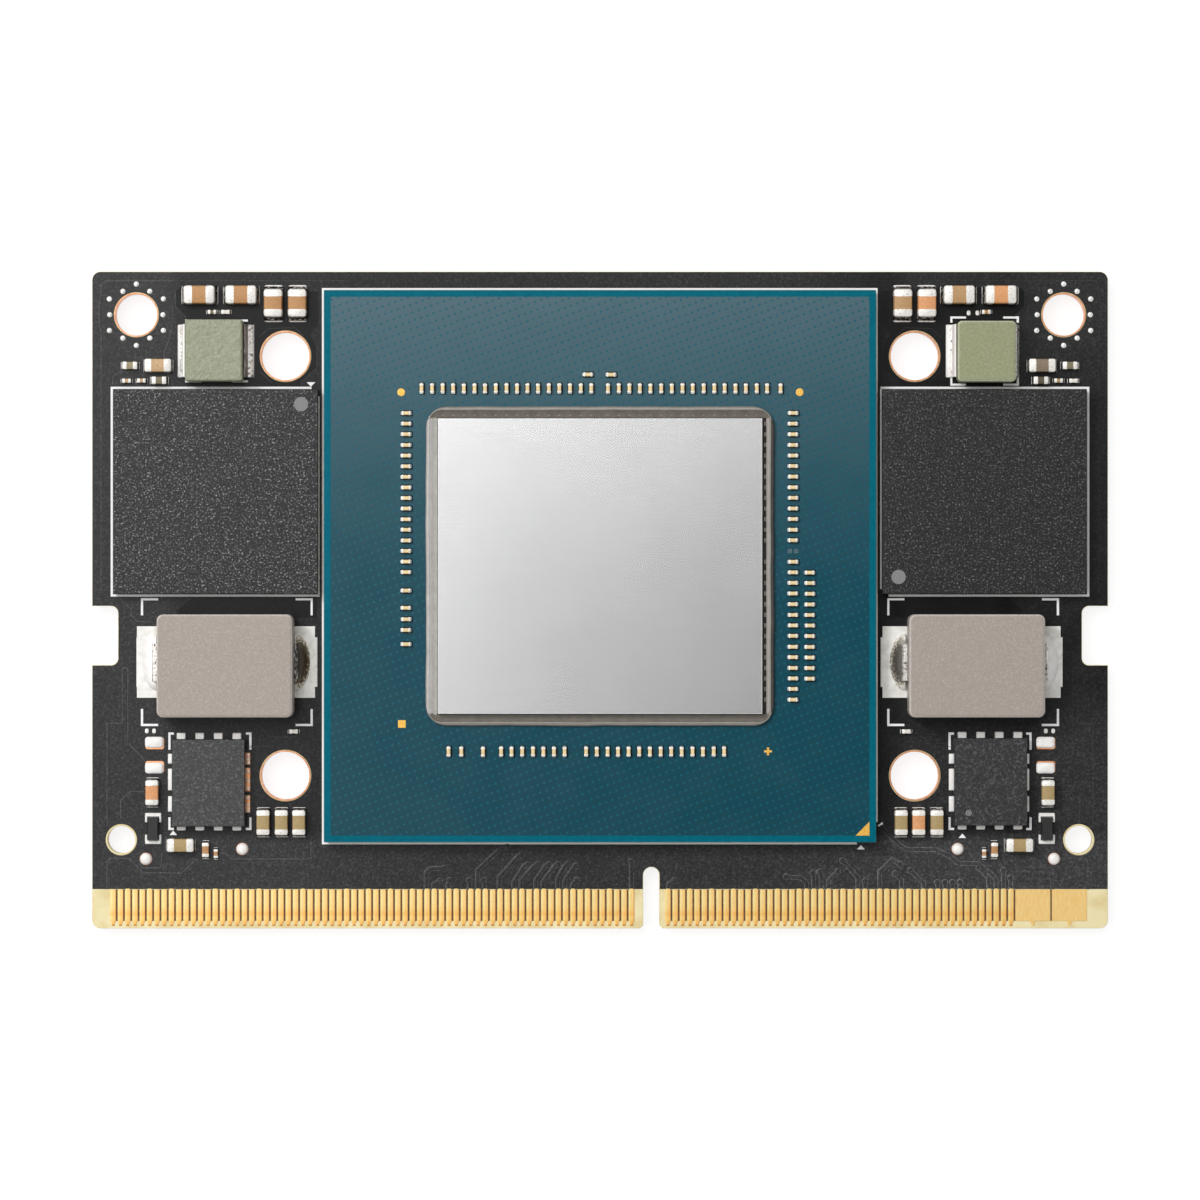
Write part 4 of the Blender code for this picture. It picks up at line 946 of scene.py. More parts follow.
RIGHT_EDGES = [
    [(28.14, -17.2), (27.6, -17.2), (27.6, -17.8), (28.14, -18.3), (31.0, -18.3)],
    [(31.05, MASK_END), (31.05, -18.2), (31.48, -17.69), (33.4, -17.69), (33.44, MASK_END)],
    [(28.2, -18.62), (30.5, -18.62), (30.85, -18.95), (30.85, MASK_END)],
    [(18.3, -16.9), (18.3, -17.61), (22.51, -17.61), (22.51, -18.4)],
]
arch = arc((KEY_X, KEY_TOP - KEY_HALF), KEY_HALF + 0.5, 10, 120, 10)
RIGHT_EDGES.append([(KEY_X + KEY_HALF + 0.5, -19.4)] + arch)

pours = bmesh.new()
mirrored = [[(-x, y) for x, y in route] for route in SHARED_EDGES]
# the right half takes the darker copy of the edges, as painted shade
for slot, routes in enumerate((SHARED_EDGES + LEFT_EDGES, mirrored + RIGHT_EDGES)):
    for route in routes:
        ribbon(pours, route, POUR_LINE, SUNK, POUR_TOP, slot, 0.025)
add_piece("board_copper_edges", pours, [mask_over_copper, shaded_copper_edge])

# %% [markdown]
# ## The gold contacts
#
# This comb is the most exacting feature of the module: fingers at half-millimetre pitch in a
# stepped outline. Each runs down from the mask, narrows in a shoulder and ends in a short tail,
# where the plating current came in. Fingers with a track, and every third, have cut corners above.
# The outline of each is drawn once and lofted in three levels, so its edges are softly rounded.

# %% Gold contacts
PITCH = 0.5
FINGER = 0.385
TAIL = 0.2
SHOULDER_Y = -21.98
NECK_Y = -22.12
TAIL_Y = -22.31
LEFT_FINGERS = 72
RIGHT_FINGERS = 48
WIDE_FINGER = 2.39
WIDE_X = (29.65, 32.15)
FIRST_LEFT = 1.36
FIRST_RIGHT = 1.14
CONTACT_ROUND = 0.014
COPPER_FLOOR = BOARD_TOP - MASK
CONTACT_TOP = BOARD_TOP + 0.035


def finger_outline(x, width, cut_top):
    half, tail = width / 2, TAIL / 2
    top = MASK_END + (0.04 if cut_top else -0.02)
    cut = 0.09 if cut_top else 0.012
    neck = min(0.11, half - tail)
    side_low = SHOULDER_Y + (0.0 if width > 1 else 0.02)
    return [
        (x - tail, TAIL_Y), (x + tail, TAIL_Y), (x + tail, NECK_Y), (x + tail + neck, SHOULDER_Y),
        (x + half, side_low), (x + half, top - cut), (x + half - cut, top + 0.02),
        (x - half + cut, top + 0.02), (x - half, top - cut), (x - half, side_low),
        (x - tail - neck, SHOULDER_Y), (x - tail, NECK_Y),
    ]


def shrunk(outline, middle, by):
    """The outline drawn in by a fixed amount on every side, for a softly rounded edge."""
    return [
        (px - math.copysign(by, px - middle[0]), py - math.copysign(by, py - middle[1]))
        for px, py in outline
    ]


tracked = {round(route[-1][0] * 2) / 2 for route in TRACKS}
fingers = [(KEY_X - FIRST_LEFT - PITCH * i, FINGER) for i in range(LEFT_FINGERS)]
fingers += [(KEY_X + FIRST_RIGHT + PITCH * i, FINGER) for i in range(RIGHT_FINGERS)]
fingers += [(x, WIDE_FINGER) for x in WIDE_X]
contacts = bmesh.new()
for number, (x, width) in enumerate(fingers):
    cut_top = number % 3 == 0 or round(x * 2) / 2 in tracked
    outline = finger_outline(x, width, cut_top and width < 1)
    middle = (x, (MASK_END + TAIL_Y) / 2)
    slot = 0 if width < 1 else 1
    for base, tip in ((COPPER_FLOOR, CONTACT_TOP), (BOARD_LOW + MASK, BOARD_LOW - 0.035)):
        step = CONTACT_ROUND if tip > base else -CONTACT_ROUND
        loft(contacts, [
            level(outline, base), level(outline, tip - step),
            level(shrunk(outline, middle, CONTACT_ROUND), tip),
        ], slot)
add_piece("edge_contacts", contacts, [finger_gold, gold])

# %% Laminate between the contacts, painted dark as shade
gaps = bmesh.new()
for start, end in ((fingers[LEFT_FINGERS - 1][0], fingers[0][0]),
                   (fingers[LEFT_FINGERS][0], fingers[-1][0] - 1.1)):
    for low, high in ((COPPER_FLOOR, COPPER_FLOOR + 0.008), (BOARD_LOW + 0.012, BOARD_LOW + MASK)):
        block(gaps, rounded(((start + end) / 2, (MASK_END + SHOULDER_Y) / 2), end - start,
                            MASK_END - SHOULDER_Y, 0.02, 1), low, high)
add_piece("contact_gaps_painted_shade", gaps, [contact_gap_shade])

# %% [markdown]
# ## Plated holes, lands and solder
#
# Each big hole is lined with copper that turns out onto the board as a thin bright rim. Round the
# corner holes sit twelve beads of solder on small vias. Bare lands, test points and the ends of
# parts carry solder, which always draws itself into a dome or a hollow fillet, never a flat block.

# %% Rims of the holes
rims = bmesh.new()
cream_rims = bmesh.new()
for centre, bore, rim, kind in HOLES:
    target = cream_rims if kind == "locating" else rims
    top = BOARD_TOP + (0.004 if kind == "locating" else 0.03)
    low = BOARD_TOP + BOARD_LOW - top
    wall = bore - 0.01
    profile = [
        (rim, top - 0.03), (rim - 0.015, top), (bore + 0.02, top), (wall, top - 0.03),
        (wall, low + 0.03), (bore + 0.02, low), (rim - 0.015, low), (rim, low + 0.03),
        (bore + 0.01, low + 0.06), (bore + 0.01, top - 0.06),
    ]
    turned(target, centre, profile, HOLE_STEPS, ends=False)
add_piece("hole_rims", rims, [copper])
add_piece("locating_hole_rims", cream_rims, [laminate])

# %% Solder beads and test points
def dome(mesh, centre, radius, height, base=BOARD_TOP, slot=0, steps=16):
    """A bead that meets the board steeply and is round on top."""
    profile = [
        (radius, base - 0.01), (radius, base + height * 0.25), (radius * 0.86, base + height * 0.6),
        (radius * 0.6, base + height * 0.87), (radius * 0.3, base + height * 0.97),
        (radius * 0.06, base + height),
    ]
    turned(mesh, centre, profile, steps, slot)


TEST_POINTS = ((31.1, -17.73), (24.5, -17.05))
LAND_X = 30.52
LAND_ROWS = ((-9.78, 1), (-11.47, -1))
BEAD_OFFSETS = [(0, 2.1), (0.92, 1.6), (1.85, 1.08), (1.82, 0), (1.85, -1.08), (0.92, -1.6)]
beads = bmesh.new()
for _, side in SIDES:
    for dx, dy in BEAD_OFFSETS + [(-x, -y) for x, y in BEAD_OFFSETS]:
        dome(beads, (side * FIXING_HOLE[0] + dx, FIXING_HOLE[1] + dy), 0.185, 0.1)
    for x, y in TEST_POINTS:
        dome(beads, (side * x, y), 0.4, 0.28, BOARD_TOP + 0.02, 1, 24)
add_piece("solder_beads", beads, [solder, white_solder])

copper_lands = bmesh.new()
for _, side in SIDES:
    for x, y in TEST_POINTS:
        turned(copper_lands, (side * x, y), [(0.43, SUNK), (0.42, LAND_TOP), (0.1, LAND_TOP)], 24)
    for y, outward in LAND_ROWS:
        block(copper_lands, rounded((side * LAND_X + 0.02, y - 0.03 * outward), 1.28, 0.82, 0.16),
              SUNK, LAND_TOP)
add_piece("copper_lands", copper_lands, [copper])


# %% Bare and empty lands
def cushion(mesh, centre, length, width, low, high, radius=0.12, slot=0, crown=0.3):
    """A low pillow of solder or a soft-edged plate, round at the corners and on top."""
    rings = []
    for share, height in ((0.0, 0.0), (0.0, 0.45), (0.3, 0.8), (1.0, 1.0)):
        inset = crown * share * min(length, width) / 2
        turn = max(0.02, radius * (1 - share * crown))
        outline = rounded(centre, length - 2 * inset, width - 2 * inset, turn)
        rings.append(level(outline, low + height * (high - low)))
    loft(mesh, rings, slot)


pads = bmesh.new()
for _, side in SIDES:
    for y, outward in LAND_ROWS:
        cushion(pads, (side * LAND_X - 0.01, y + 0.04 * outward), 1.26, 0.74, BOARD_TOP,
                LAND_TOP + 0.16, 0.2, crown=0.45)
    for x in (31.04, 30.54):
        cushion(pads, (side * x, -8.97), 0.26, 0.33, SUNK, BOARD_TOP + 0.08, 0.1)
for x in (25.25, 25.85):
    cushion(pads, (x, 19.66), 0.26, 0.35, SUNK, BOARD_TOP + 0.08, 0.1)
add_piece("bare_lands", pads, [white_solder])

# %% [markdown]
# ## White ink
#
# Ink is screened on last, in lines about a sixth of a millimetre wide: frames round the packages,
# corner brackets round the power parts and small triangles at each first pin. Thin ribbons with
# sloping edges give the soft lines of real ink. No lettering is printed.

# %% Ink lines and triangles
INK_WIDTH = 0.17
THIN_INK = 0.13
ink_mesh = bmesh.new()


def ink_line(route, width=INK_WIDTH):
    ribbon(ink_mesh, route, width, BOARD_TOP - 0.005, INK_TOP, slope=0.02)


def ink_triangle(corners):
    block(ink_mesh, corners, BOARD_TOP - 0.005, INK_TOP)


def brackets(x_range, y_range, across, up):
    """Four right-angled corners. across and up are the lengths of their arms."""
    for i, x in enumerate(x_range):
        for j, y in enumerate(y_range):
            inward = 1 if i == 0 else -1
            upward = 1 if j == 0 else -1
            ink_line([(x + inward * across, y), (x, y), (x, y + upward * up[j])])


ink_line([(17.6, -16.66), (-18.97, -16.66), (-18.97, 21.29), (18.94, 21.29), (18.94, -15.2)])
ink_line([(-19.76, 14.53), (-33.44, 14.53), (-33.44, 0.31), (-19.2, 0.31)])
ink_line([(19.77, 0.31), (33.44, 0.31), (33.44, 14.53), (19.2, 14.53)])
ink_line([(-19.26, 0.31), (-19.26, 13.95)], THIN_INK)
ink_line([(19.24, 14.53), (19.24, 0.75)], THIN_INK)
for _, side in SIDES:
    edges = sorted((side * 31.37, side * 19.75))
    brackets(edges, (-8.56, 0.05), 1.1, (1.1, 1.1))
    middle = side * 26.72
    brackets((middle - 2.77, middle + 2.77), (-15.68, -9.15), 0.3, (0.8, 1.1))
brackets((24.07, 28.62), (14.75, 19.35), 1.0, (0.5, 0.35))
for y in (14.98, 19.14):
    ink_line([(-28.42, y), (-27.3, y)])
    ink_line([(-25.2, y), (-24.12, y)])
ink_triangle([(-19.8, 14.62), (-19.5, 14.92), (-20.1, 14.92)])
ink_triangle([(-29.24, -15.8), (-29.48, -16.1), (-28.97, -16.1)])
ink_triangle([(24.82, -16.0), (24.56, -16.3), (25.08, -16.3)])
ink_triangle([(17.87, -16.78), (17.6, -17.08), (18.14, -17.08)])
ink_triangle([(19.02, -15.45), (19.36, -15.2), (19.36, -15.7)])
add_piece("ink_marks", ink_mesh, [ink])

# %% [markdown]
# ## Chip parts
#
# A chip capacitor is a fired block whose two ends were dipped in metal paste, so the metal is a
# little proud and its inner edge is curved. It is soldered by two hollow fillets that climb its
# ends. One function draws such a part in any size, and each stands in the box of its own solid.

# %% One chip part
CAP_BULGE = 0.06
CHIP_LIP = 0.015
METAL, CLAY, FILLET = range(3)
# the step between rings that is clay, its flat top face, and where a fillet turns bright
CLAY_STEP = 4
CROWN_FACE = 5
BRIGHT_FROM = 4


def chip_ring(x, size, inset, corner, bulge):
    """A round-cornered section across the chip. bulge moves the middle of its top and bottom."""
    _, width, height = size
    outline = rounded((0.0, height / 2), width - 2 * inset, height - 2 * inset,
                      max(0.01, corner - inset), 2)
    points = []
    for y, z in outline:
        middle = max(0.0, 1 - (2 * y / width) ** 2)
        points.append((x + bulge * middle, y, z))
    return points


def placed(points, spot, upright):
    turn = Matrix.Rotation(math.radians(90 if upright else 0), 3, "Z")
    return [tuple(turn @ Vector(point) + spot) for point in points]


def add_chip(mesh, spot, size, cap, upright, reach=0.0, crown=None):
    """spot is the middle of its foot, cap the length of its metal ends and reach that of its
    fillets. crown is the slot of the flat top of the clay, where that differs."""
    half = size[0] / 2
    corner = 0.16 * min(size[1], size[2])
    bulge = CAP_BULGE * size[1]
    stations = [
        (-half, corner, 0.0), (-half + corner * 0.3, corner * 0.3, 0.0), (-half + corner, 0.0, 0.0),
        (-half + cap, 0.0, bulge), (-half + cap + 0.006, CHIP_LIP, bulge),
        (half - cap - 0.006, CHIP_LIP, -bulge), (half - cap, 0.0, -bulge),
        (half - corner, 0.0, 0.0), (half - corner * 0.3, corner * 0.3, 0.0), (half, corner, 0.0),
    ]
    rings = [
        placed(chip_ring(x, size, inset, corner, push), spot, upright)
        for x, inset, push in stations
    ]
    faces = loft(mesh, rings, METAL)
    around = len(rings[0])
    first = 2 + CLAY_STEP * around
    for face in faces[first:first + around]:
        face.material_index = CLAY
    if crown is not None:
        faces[first + CROWN_FACE].material_index = crown
    if reach:
        for end in (-1, 1):
            add_fillet(mesh, spot, size, end, reach, upright)


def add_fillet(mesh, spot, size, end, reach, upright):
    """Solder that climbs one end of a chip in a hollow curve and wraps its corners a little.
    Its outer foot is as bright as the tinned ends."""
    half, width, height = size[0] / 2, size[1], size[2]
    sink = spot.z - BOARD_TOP
    rings = []
    for share, climb, spread in (
        (-0.35, 0.62, 1.02), (0.0, 0.62, 1.0), (0.18, 0.36, 1.02), (0.42, 0.18, 1.04),
        (0.72, 0.07, 1.0), (0.9, 0.04, 0.9), (1.0, 0.02, 0.74),
    ):
        x = end * (half + share * reach)
        top = climb * height
        across = width / 2 * spread
        section = [
            (x, -across, -sink), (x, across, -sink), (x, across, top * 0.55),
            (x, across * 0.8, top), (x, -across * 0.8, top), (x, -across, top * 0.55),
        ]
        rings.append(placed(section, spot, upright))
    # the hollow of the fillet is painted dark, as a reflection of the board
    faces = loft(mesh, rings, FILLET)
    around = len(rings[0])
    for face in faces[2 + BRIGHT_FROM * around:]:
        face.material_index = METAL


# %% Loose chips on the board
CLAYS = {
    "top_capacitor_outer": ("brown", "orange"), "top_capacitor_inner": ("brown", "sand"),
    "upright_capacitor_outer": ("brown", "orange"), "upright_capacitor_inner": ("brown", "sand"),
    "memory_filter": ("tan", "grey"), "memory_resistor_upper": ("light olive", "olive"),
    "memory_resistor_lower": ("olive", "dark olive"), "memory_bypass_inner": ("tan", "khaki"),
    "memory_bypass_outer": ("tan", "pale"), "stage_capacitor": ("orange", "khaki"),
    "gate_capacitor": ("khaki", "khaki"), "gate_resistor": ("brown", "brown"),
    "gate_bypass": ("brown", "brown"), "bulk_capacitor_outer": ("khaki", "khaki"),
    "bulk_capacitor_middle": ("khaki", "orange"), "bulk_capacitor_inner": ("khaki", "khaki"),
    "sense_bypass": ("pale", "pale"), "top_bypass_outer": ("olive", None),
    "top_bypass_inner": ("pale", None), "top_bypass": (None, "brown"),
}
# cap, extra length and extra width of each kind, by its length and whether it stands upright
CHIP_FORMS = {
    (2.05, False): (0.56, 0.08, 0.0), (2.05, True): (0.48, -0.14, 0.02),
    (1.65, False): (0.46, 0.18, 0.05), (1.65, True): (0.36, 0.07, 0.04),
    (1.0, False): (0.28, 0.03, 0.03), (1.0, True): (0.23, 0.0, -0.02),
    (0.6, False): (0.18, 0.0, 0.0), (0.6, True): (0.15, 0.0, 0.0),
}
FILLETS = {2.05: 0.24, 1.65: 0.2, 1.0: 0.14, 0.6: 0.11}

count = 0
for part, pair in CLAYS.items():
    for (side_name, _), clay in zip(SIDES, pair):
        if clay is None:
            continue
        node = f"{part}_{side_name}"
        spot, size = span(node)
        upright = size.y > size.x
        length, width = max(size.x, size.y), min(size.x, size.y)
        kind = min(FILLETS, key=lambda known: abs(known - length))
        chip = bmesh.new()
        cap, longer, wider = CHIP_FORMS[kind, upright]
        add_chip(chip, spot, (length + longer, width + wider, size.z), cap, upright,
                 FILLETS[kind] - longer / 2)
        add_piece("chip_" + node, chip, [tin, CERAMICS[clay], fillet_painted_reflection], [node])
        count += 1
print(count, "loose chips")

# %% Diodes
DIODE_BAR = (1.12, 0.28)
DIODE_ARM = (0.17, 0.5)
for side_name, side in SIDES:
    node = "stage_diode_" + side_name
    spot, size = span(node)
    diode = bmesh.new()
    body = rounded((spot.x, spot.y), size.x, size.y, 0.05, 2)
    inner = rounded((spot.x, spot.y), size.x - 0.12, size.y - 0.12, 0.04, 2)
    loft(diode, [level(body, SEAT), level(body, SEAT + size.z * 0.6), level(inner, SEAT + size.z)])
    for end in (-1, 1):
        y = spot.y + end * (size.y / 2 - 0.02)
        bar = (spot.x, y + end * 0.15)
        cushion(diode, bar, *DIODE_BAR, SUNK, SEAT + 0.14, 0.08, 1, 0.35)
        for edge in (-1, 1):
            arm = (spot.x + edge * 0.48, y - end * 0.12)
            cushion(diode, arm, *DIODE_ARM, SUNK, SEAT + 0.12, 0.06, 1, 0.4)
    add_piece("chip_" + node, diode, [diode_mould, white_solder], [node])

# %% [markdown]
# ## Power inductors
#
# Each is a block of pressed iron powder with rounded corners, lacquered beige grey, on two tinned
# lands. Its flat terminals turn down the ends, and a half-round mound of solder holds each one.
# The inner mounds carry dark burnt flux. The block is lofted through rounded rectangles, so that
# its top edge catches the light all round, as in the photograph, and that round is also painted
# lighter as a highlight.

# %% Inductor bodies
BODY_STEPS = 8
BODY_LEVELS = (
    (0.06, 0.0), (0.0, 0.06), (0.0, 0.88), (0.012, 0.93), (0.045, 0.965), (0.1, 0.988), (0.19, 1.0),
)


def moulded_body(name, node, radius, materials, shift, shrink):
    """Lofted inside the box of its solid. The last slot is for the round of the top edge, where a
    lighter finish is a painted highlight.
    """
    spot, size = span(node)
    spot += Vector((*shift, 0.0))
    size -= Vector((*shrink, 0.0))
    rings = []
    for inset, share in BODY_LEVELS:
        outline = rounded((spot.x, spot.y), size.x - 2 * inset, size.y - 2 * inset,
                          radius - inset * 0.6, BODY_STEPS)
        rings.append(level(outline, spot.z + share * size.z))
    body = bmesh.new()
    faces = loft(body, rings)
    around = len(rings[0])
    for face in faces[2 + 3 * around:2 + 5 * around]:
        face.material_index = len(materials) - 1
    add_piece(name, body, materials, [node])


for (side_name, _), across in zip(SIDES, (0.07, 0.05)):
    moulded_body("inductor_body_" + side_name, "power_inductor_" + side_name, 0.45,
                 [iron_body, iron_painted_highlight], (across, -0.09), (0.13, -0.03))

# %% Burnt solder
INDUCTOR_X = 25.62
INDUCTOR_Y = -4.25
INDUCTOR_HALF = 4.7
MOUND_REACH = 1.05
MOUND_HALF = 1.95
MOUND_HEIGHT = 0.6


def burnt_solder(name, darkest, rgb):
    """Solder with a dark ring of burnt flux, where a noisy line across the mound is passed."""
    material = new_material(name, (234, 231, 226), 0.4, 0.15)
    place = axes(material)
    centre = (INDUCTOR_X - INDUCTOR_HALF - 0.3) * MM
    offset = compute(material, "SUBTRACT", compute(material, "ABSOLUTE", place["X"]), {1: centre})
    joined = add_node(material, "ShaderNodeCombineXYZ")
    join(material, compute(material, "MULTIPLY", offset, {1: 2.1}), joined.inputs[0])
    up = compute(material, "SUBTRACT", place["Y"], {1: INDUCTOR_Y * MM})
    join(material, up, joined.inputs[1])
    reach = add_node(material, "ShaderNodeVectorMath", operation="LENGTH")
    join(material, joined.outputs[0], reach.inputs[0])
    lumps = grain(material, 0.16, detail=4.0)
    ragged = compute(material, "MULTIPLY_ADD", lumps, {1: 0.0016, 2: -0.0008})
    total = add_node(material, "ShaderNodeMath", operation="ADD")
    join(material, reach.outputs["Value"], total.inputs[0])
    join(material, ragged, total.inputs[1])
    share = add_node(material, "ShaderNodeMapRange", {"From Min": 0.001, "From Max": 0.0021})
    join(material, total.outputs[0], share.inputs["Value"])
    colour = ramp(material, share.outputs["Result"],
                  [(0.0, darkest), (0.4, rgb), (0.54, (218, 210, 194)), (0.72, (249, 246, 240))])
    join(material, colour, shader_of(material).inputs["Base Color"])
    bumps(material, 0.11, 0.02, 0.8, detail=3.0)
    return material


BURNT = {
    "left": burnt_solder("burnt_solder_left", (58, 48, 36), (112, 98, 78)),
    "right": burnt_solder("burnt_solder_right", (74, 68, 60), (150, 144, 136)),
}

# %% Terminals and solder mounds
LEAD_HALF = 1.3
LEAD_THICK = 0.25


def terminal(name, node, centre_x, way, metals):
    """way is 1 where the terminal looks to +X. Slot 0 is solder and slot 1 the tinned strip."""
    mesh = bmesh.new()
    start = INDUCTOR_HALF + 0.03

    def at(x, y, z):
        return (centre_x + way * x, INDUCTOR_Y + y, z)

    rings = []
    for share, rise, spread in (
        (1.0, -0.06, 1.0), (0.97, 0.1, 1.0), (0.86, 0.36, 0.97), (0.68, 0.66, 0.9), (0.46, 0.88, 0.8),
        (0.24, 1.0, 0.66),
    ):
        ring = []
        for x, y in arc((0, 0), 1.0, -90, 90, 20):
            ring.append(at(start + x * MOUND_REACH * share, y * MOUND_HALF * spread,
                           LAND_TOP + 0.02 + rise * MOUND_HEIGHT))
        rings.append(ring)
    loft(mesh, rings, 0)
    strip = []
    for x, z, half in (
        (start - 0.16, SEAT, LEAD_HALF), (start - 0.16, 2.9, LEAD_HALF),
        (start - 0.1, 3.02, LEAD_HALF - 0.05),
        (start + 0.16, 3.02, LEAD_HALF - 0.05), (start + LEAD_THICK, 2.9, LEAD_HALF),
        (start + LEAD_THICK, SEAT, LEAD_HALF),
    ):
        strip.append((x, z, half))
    sides = [[at(x, sign * half, z) for x, z, half in strip] for sign in (-1, 1)]
    loft(mesh, sides, 1)
    add_piece(name, mesh, metals, [node])


for side_name, side in SIDES:
    for end_name, way in (("inner", -side), ("outer", side)):
        strip = strip_metal if (end_name, side_name) == ("inner", "left") else rough_solder
        metals = [BURNT[side_name] if end_name == "inner" else white_solder, strip]
        node = f"inductor_lead_{end_name}_{side_name}"
        terminal("terminal_" + node, node, side * INDUCTOR_X, way, metals)

# %% Lands of the power parts
LAND_REACH = 1.4
LAND_HALF = 2.45
TAB_HALF = 1.7
LAND_SHIFT = {-1: 0.0, 1: -0.17}
TABS = {(-1, 1): 0.16, (-1, -1): 0.03, (1, -1): 0.13, (1, 1): 0.13}


def inductor_land(centre_x, way, tab):
    inner, outer = INDUCTOR_HALF - 0.3, INDUCTOR_HALF + LAND_REACH
    points = [
        (inner, -LAND_HALF), (outer, -LAND_HALF), (outer, -TAB_HALF), (outer + tab, -TAB_HALF),
        (outer + tab, TAB_HALF), (outer, TAB_HALF), (outer, LAND_HALF), (inner, LAND_HALF),
    ]
    return [(centre_x + way * x, INDUCTOR_Y + y) for x, y in points]


lands = bmesh.new()
for _, side in SIDES:
    for way in (-1, 1):
        land_x = side * INDUCTOR_X + LAND_SHIFT[side]
        outline = inductor_land(land_x, way, TABS[side, way])
        middle = (land_x + way * (INDUCTOR_HALF + 0.6), INDUCTOR_Y)
        loft(lands, [
            level(outline, SUNK), level(outline, LAND_TOP - 0.01),
            level(shrunk(outline, middle, 0.03), LAND_TOP + 0.01),
        ])
add_piece("inductor_lands", lands, [tinned_land])

# %% [markdown]
# ## Small chokes
#
# These stand above the memories. The left one has a leathery skin and the right one is smoother,
# as two batches of the same part often are. Bent tin clips reach out below both ends.

# %% Choke bodies and clips
CLIP_TOP = 2.95
CLIP_Y = (-1.8, -1.76, -0.9, 0.0, 0.9, 1.76, 1.8)
CLIP_REACH = {"inner_left": 0.64, "outer_left": 0.55, "inner_right": 0.64, "outer_right": 0.38}
CHOKE_SKINS = {
    "left": (0.14, [choke_rough], (0.0, -0.01), (0.08, 0.0)),
    "right": (0.3, [choke_smooth, choke_painted_highlight], (0.04, -0.08), (0.0, 0.04)),
}
for side_name, side in SIDES:
    turn, skins, shift, shrink = CHOKE_SKINS[side_name]
    moulded_body("choke_body_" + side_name, "choke_" + side_name, turn, skins,
                 shift, shrink)
    for end_name, way in (("inner", -side), ("outer", side)):
        node = f"choke_clip_{end_name}_{side_name}"
        spot, size = span(node)
        start = spot.x - way * size.x / 2
        reach = CLIP_REACH[f"{end_name}_{side_name}"]
        profile = [
            (0.0, BOARD_TOP), (reach - 0.04, BOARD_TOP), (reach, BOARD_TOP + 0.03),
            (reach - 0.04, BOARD_TOP + 0.1), (min(0.4, reach - 0.08), SEAT + 0.15),
            (0.24, SEAT + 0.22), (0.2, SEAT + 0.4), (0.17, SEAT + 0.9), (0.12, CLIP_TOP),
            (0.0, CLIP_TOP),
        ]
        clip = bmesh.new()
        rings = []
        for y in CLIP_Y:
            pull = 0.04 if abs(y) == CLIP_Y[-1] else 0.0
            rings.append([
                (start + way * max(0.0, x - pull), spot.y + y, z) for x, z in profile
            ])
        faces = loft(clip, rings)
        around = len(profile)
        # the inner clip of the left choke lies to its right, and its riser is painted dark as the
        # choke's shadow
        shadowed_riser = node == "choke_clip_inner_left"
        for number, face in enumerate(faces[2:]):
            step = number % around
            if step == 4 or (shadowed_riser and step == 3):
                face.material_index = 1
            elif shadowed_riser and step in (5, 6, 7, 8):
                face.material_index = 2
        metal = mirror_solder if node == "choke_clip_outer_right" else white_solder
        add_piece("clip_" + node, clip, [metal, rough_solder, riser], [node])

# %% [markdown]
# ## Power stages
#
# A power stage is a flat moulded package whose copper leads end flush at its sides, each with its
# own spot of solder. Four come out at the top and four at the bottom, and wider ones at the
# sides, where some copper stays bare. The moulding is a loft through three rounded outlines and
# the leads are cushions.

# %% Mouldings of the power stages
STAGE_FOOT = (4.98, 5.98)
STAGE_FLAT = (4.9, 5.9)
STAGE_TOP = 2.75
STAGE_LEAD_X = (-1.905, -0.635, 0.635, 1.905)
SIDE_LEADS = ((-10.87, 0.7), (-12.3, 1.5), (-13.97, 1.08))
STAGE_MIDDLE = {"left": (-26.77, -12.5), "right": (26.71, -12.43)}
for side_name, side in SIDES:
    node = "power_stage_" + side_name
    centre_x, centre_y = STAGE_MIDDLE[side_name]
    stage = bmesh.new()
    foot = rounded((centre_x, centre_y), *STAGE_FOOT, 0.04, 2)
    top = rounded((centre_x, centre_y), *STAGE_FLAT, 0.06, 2)
    loft(stage, [level(foot, SEAT + 0.02), level(foot, STAGE_TOP - 0.07), level(top, STAGE_TOP)])
    for x in STAGE_LEAD_X:
        for end, reach in ((1, 0.42), (-1, 0.3)):
            place = (centre_x + x, centre_y + end * (2.99 + reach / 2 - 0.04))
            cushion(stage, place, 0.62, reach + 0.08, SUNK, SEAT + 0.2, 0.08, 1, 0.2)
    for way in (-1, 1):
        bare = side_name == "left" and way == 1
        for y, length in SIDE_LEADS:
            place = (centre_x + way * (2.6 if way == -1 or bare else 2.47), y)
            low = SUNK
            if bare:
                block(stage, rounded(place, 0.4, length + 0.1, 0.03, 2), low, LAND_TOP, 2)
                for share in (-0.42, -0.05, 0.38):
                    spot = (place[0] + 0.07, y + share * length)
                    cushion(stage, spot, 0.2, 0.22, low, SEAT + 0.08, 0.08, 1, 0.5)
            else:
                cushion(stage, place, 0.44, length, low, SEAT + 0.1, 0.05, 1, 0.25)
    add_piece("stage_body_" + side_name, stage, [stage_mould, white_solder, copper],
              [node])

FIRST_PIN = (25.2, -14.55)
stage_marks = bmesh.new()
low, high = STAGE_TOP - 0.005, STAGE_TOP + 0.002
turned(stage_marks, FIRST_PIN, [(0.21, low), (0.21, high), (0.13, high), (0.13, low)], 24,
       ends=False)
turned(stage_marks, FIRST_PIN, [(0.1, low), (0.1, STAGE_TOP + 0.001)], 20)
add_piece("stage_first_pin", stage_marks, [marking_grey])

# %% [markdown]
# ## Memory packages
#
# A memory package is black moulding on a thin green laminate, and stands on a field of solder
# balls. From above only the sparkling moulding and the grey dot at the first ball show, but from
# the side the layers and the outer balls do. The dot is a shallow dimple, so the top skin is a
# cut sheet with a round hole over a lower floor.

# %% Ball fields
BALL_ROWS = 2


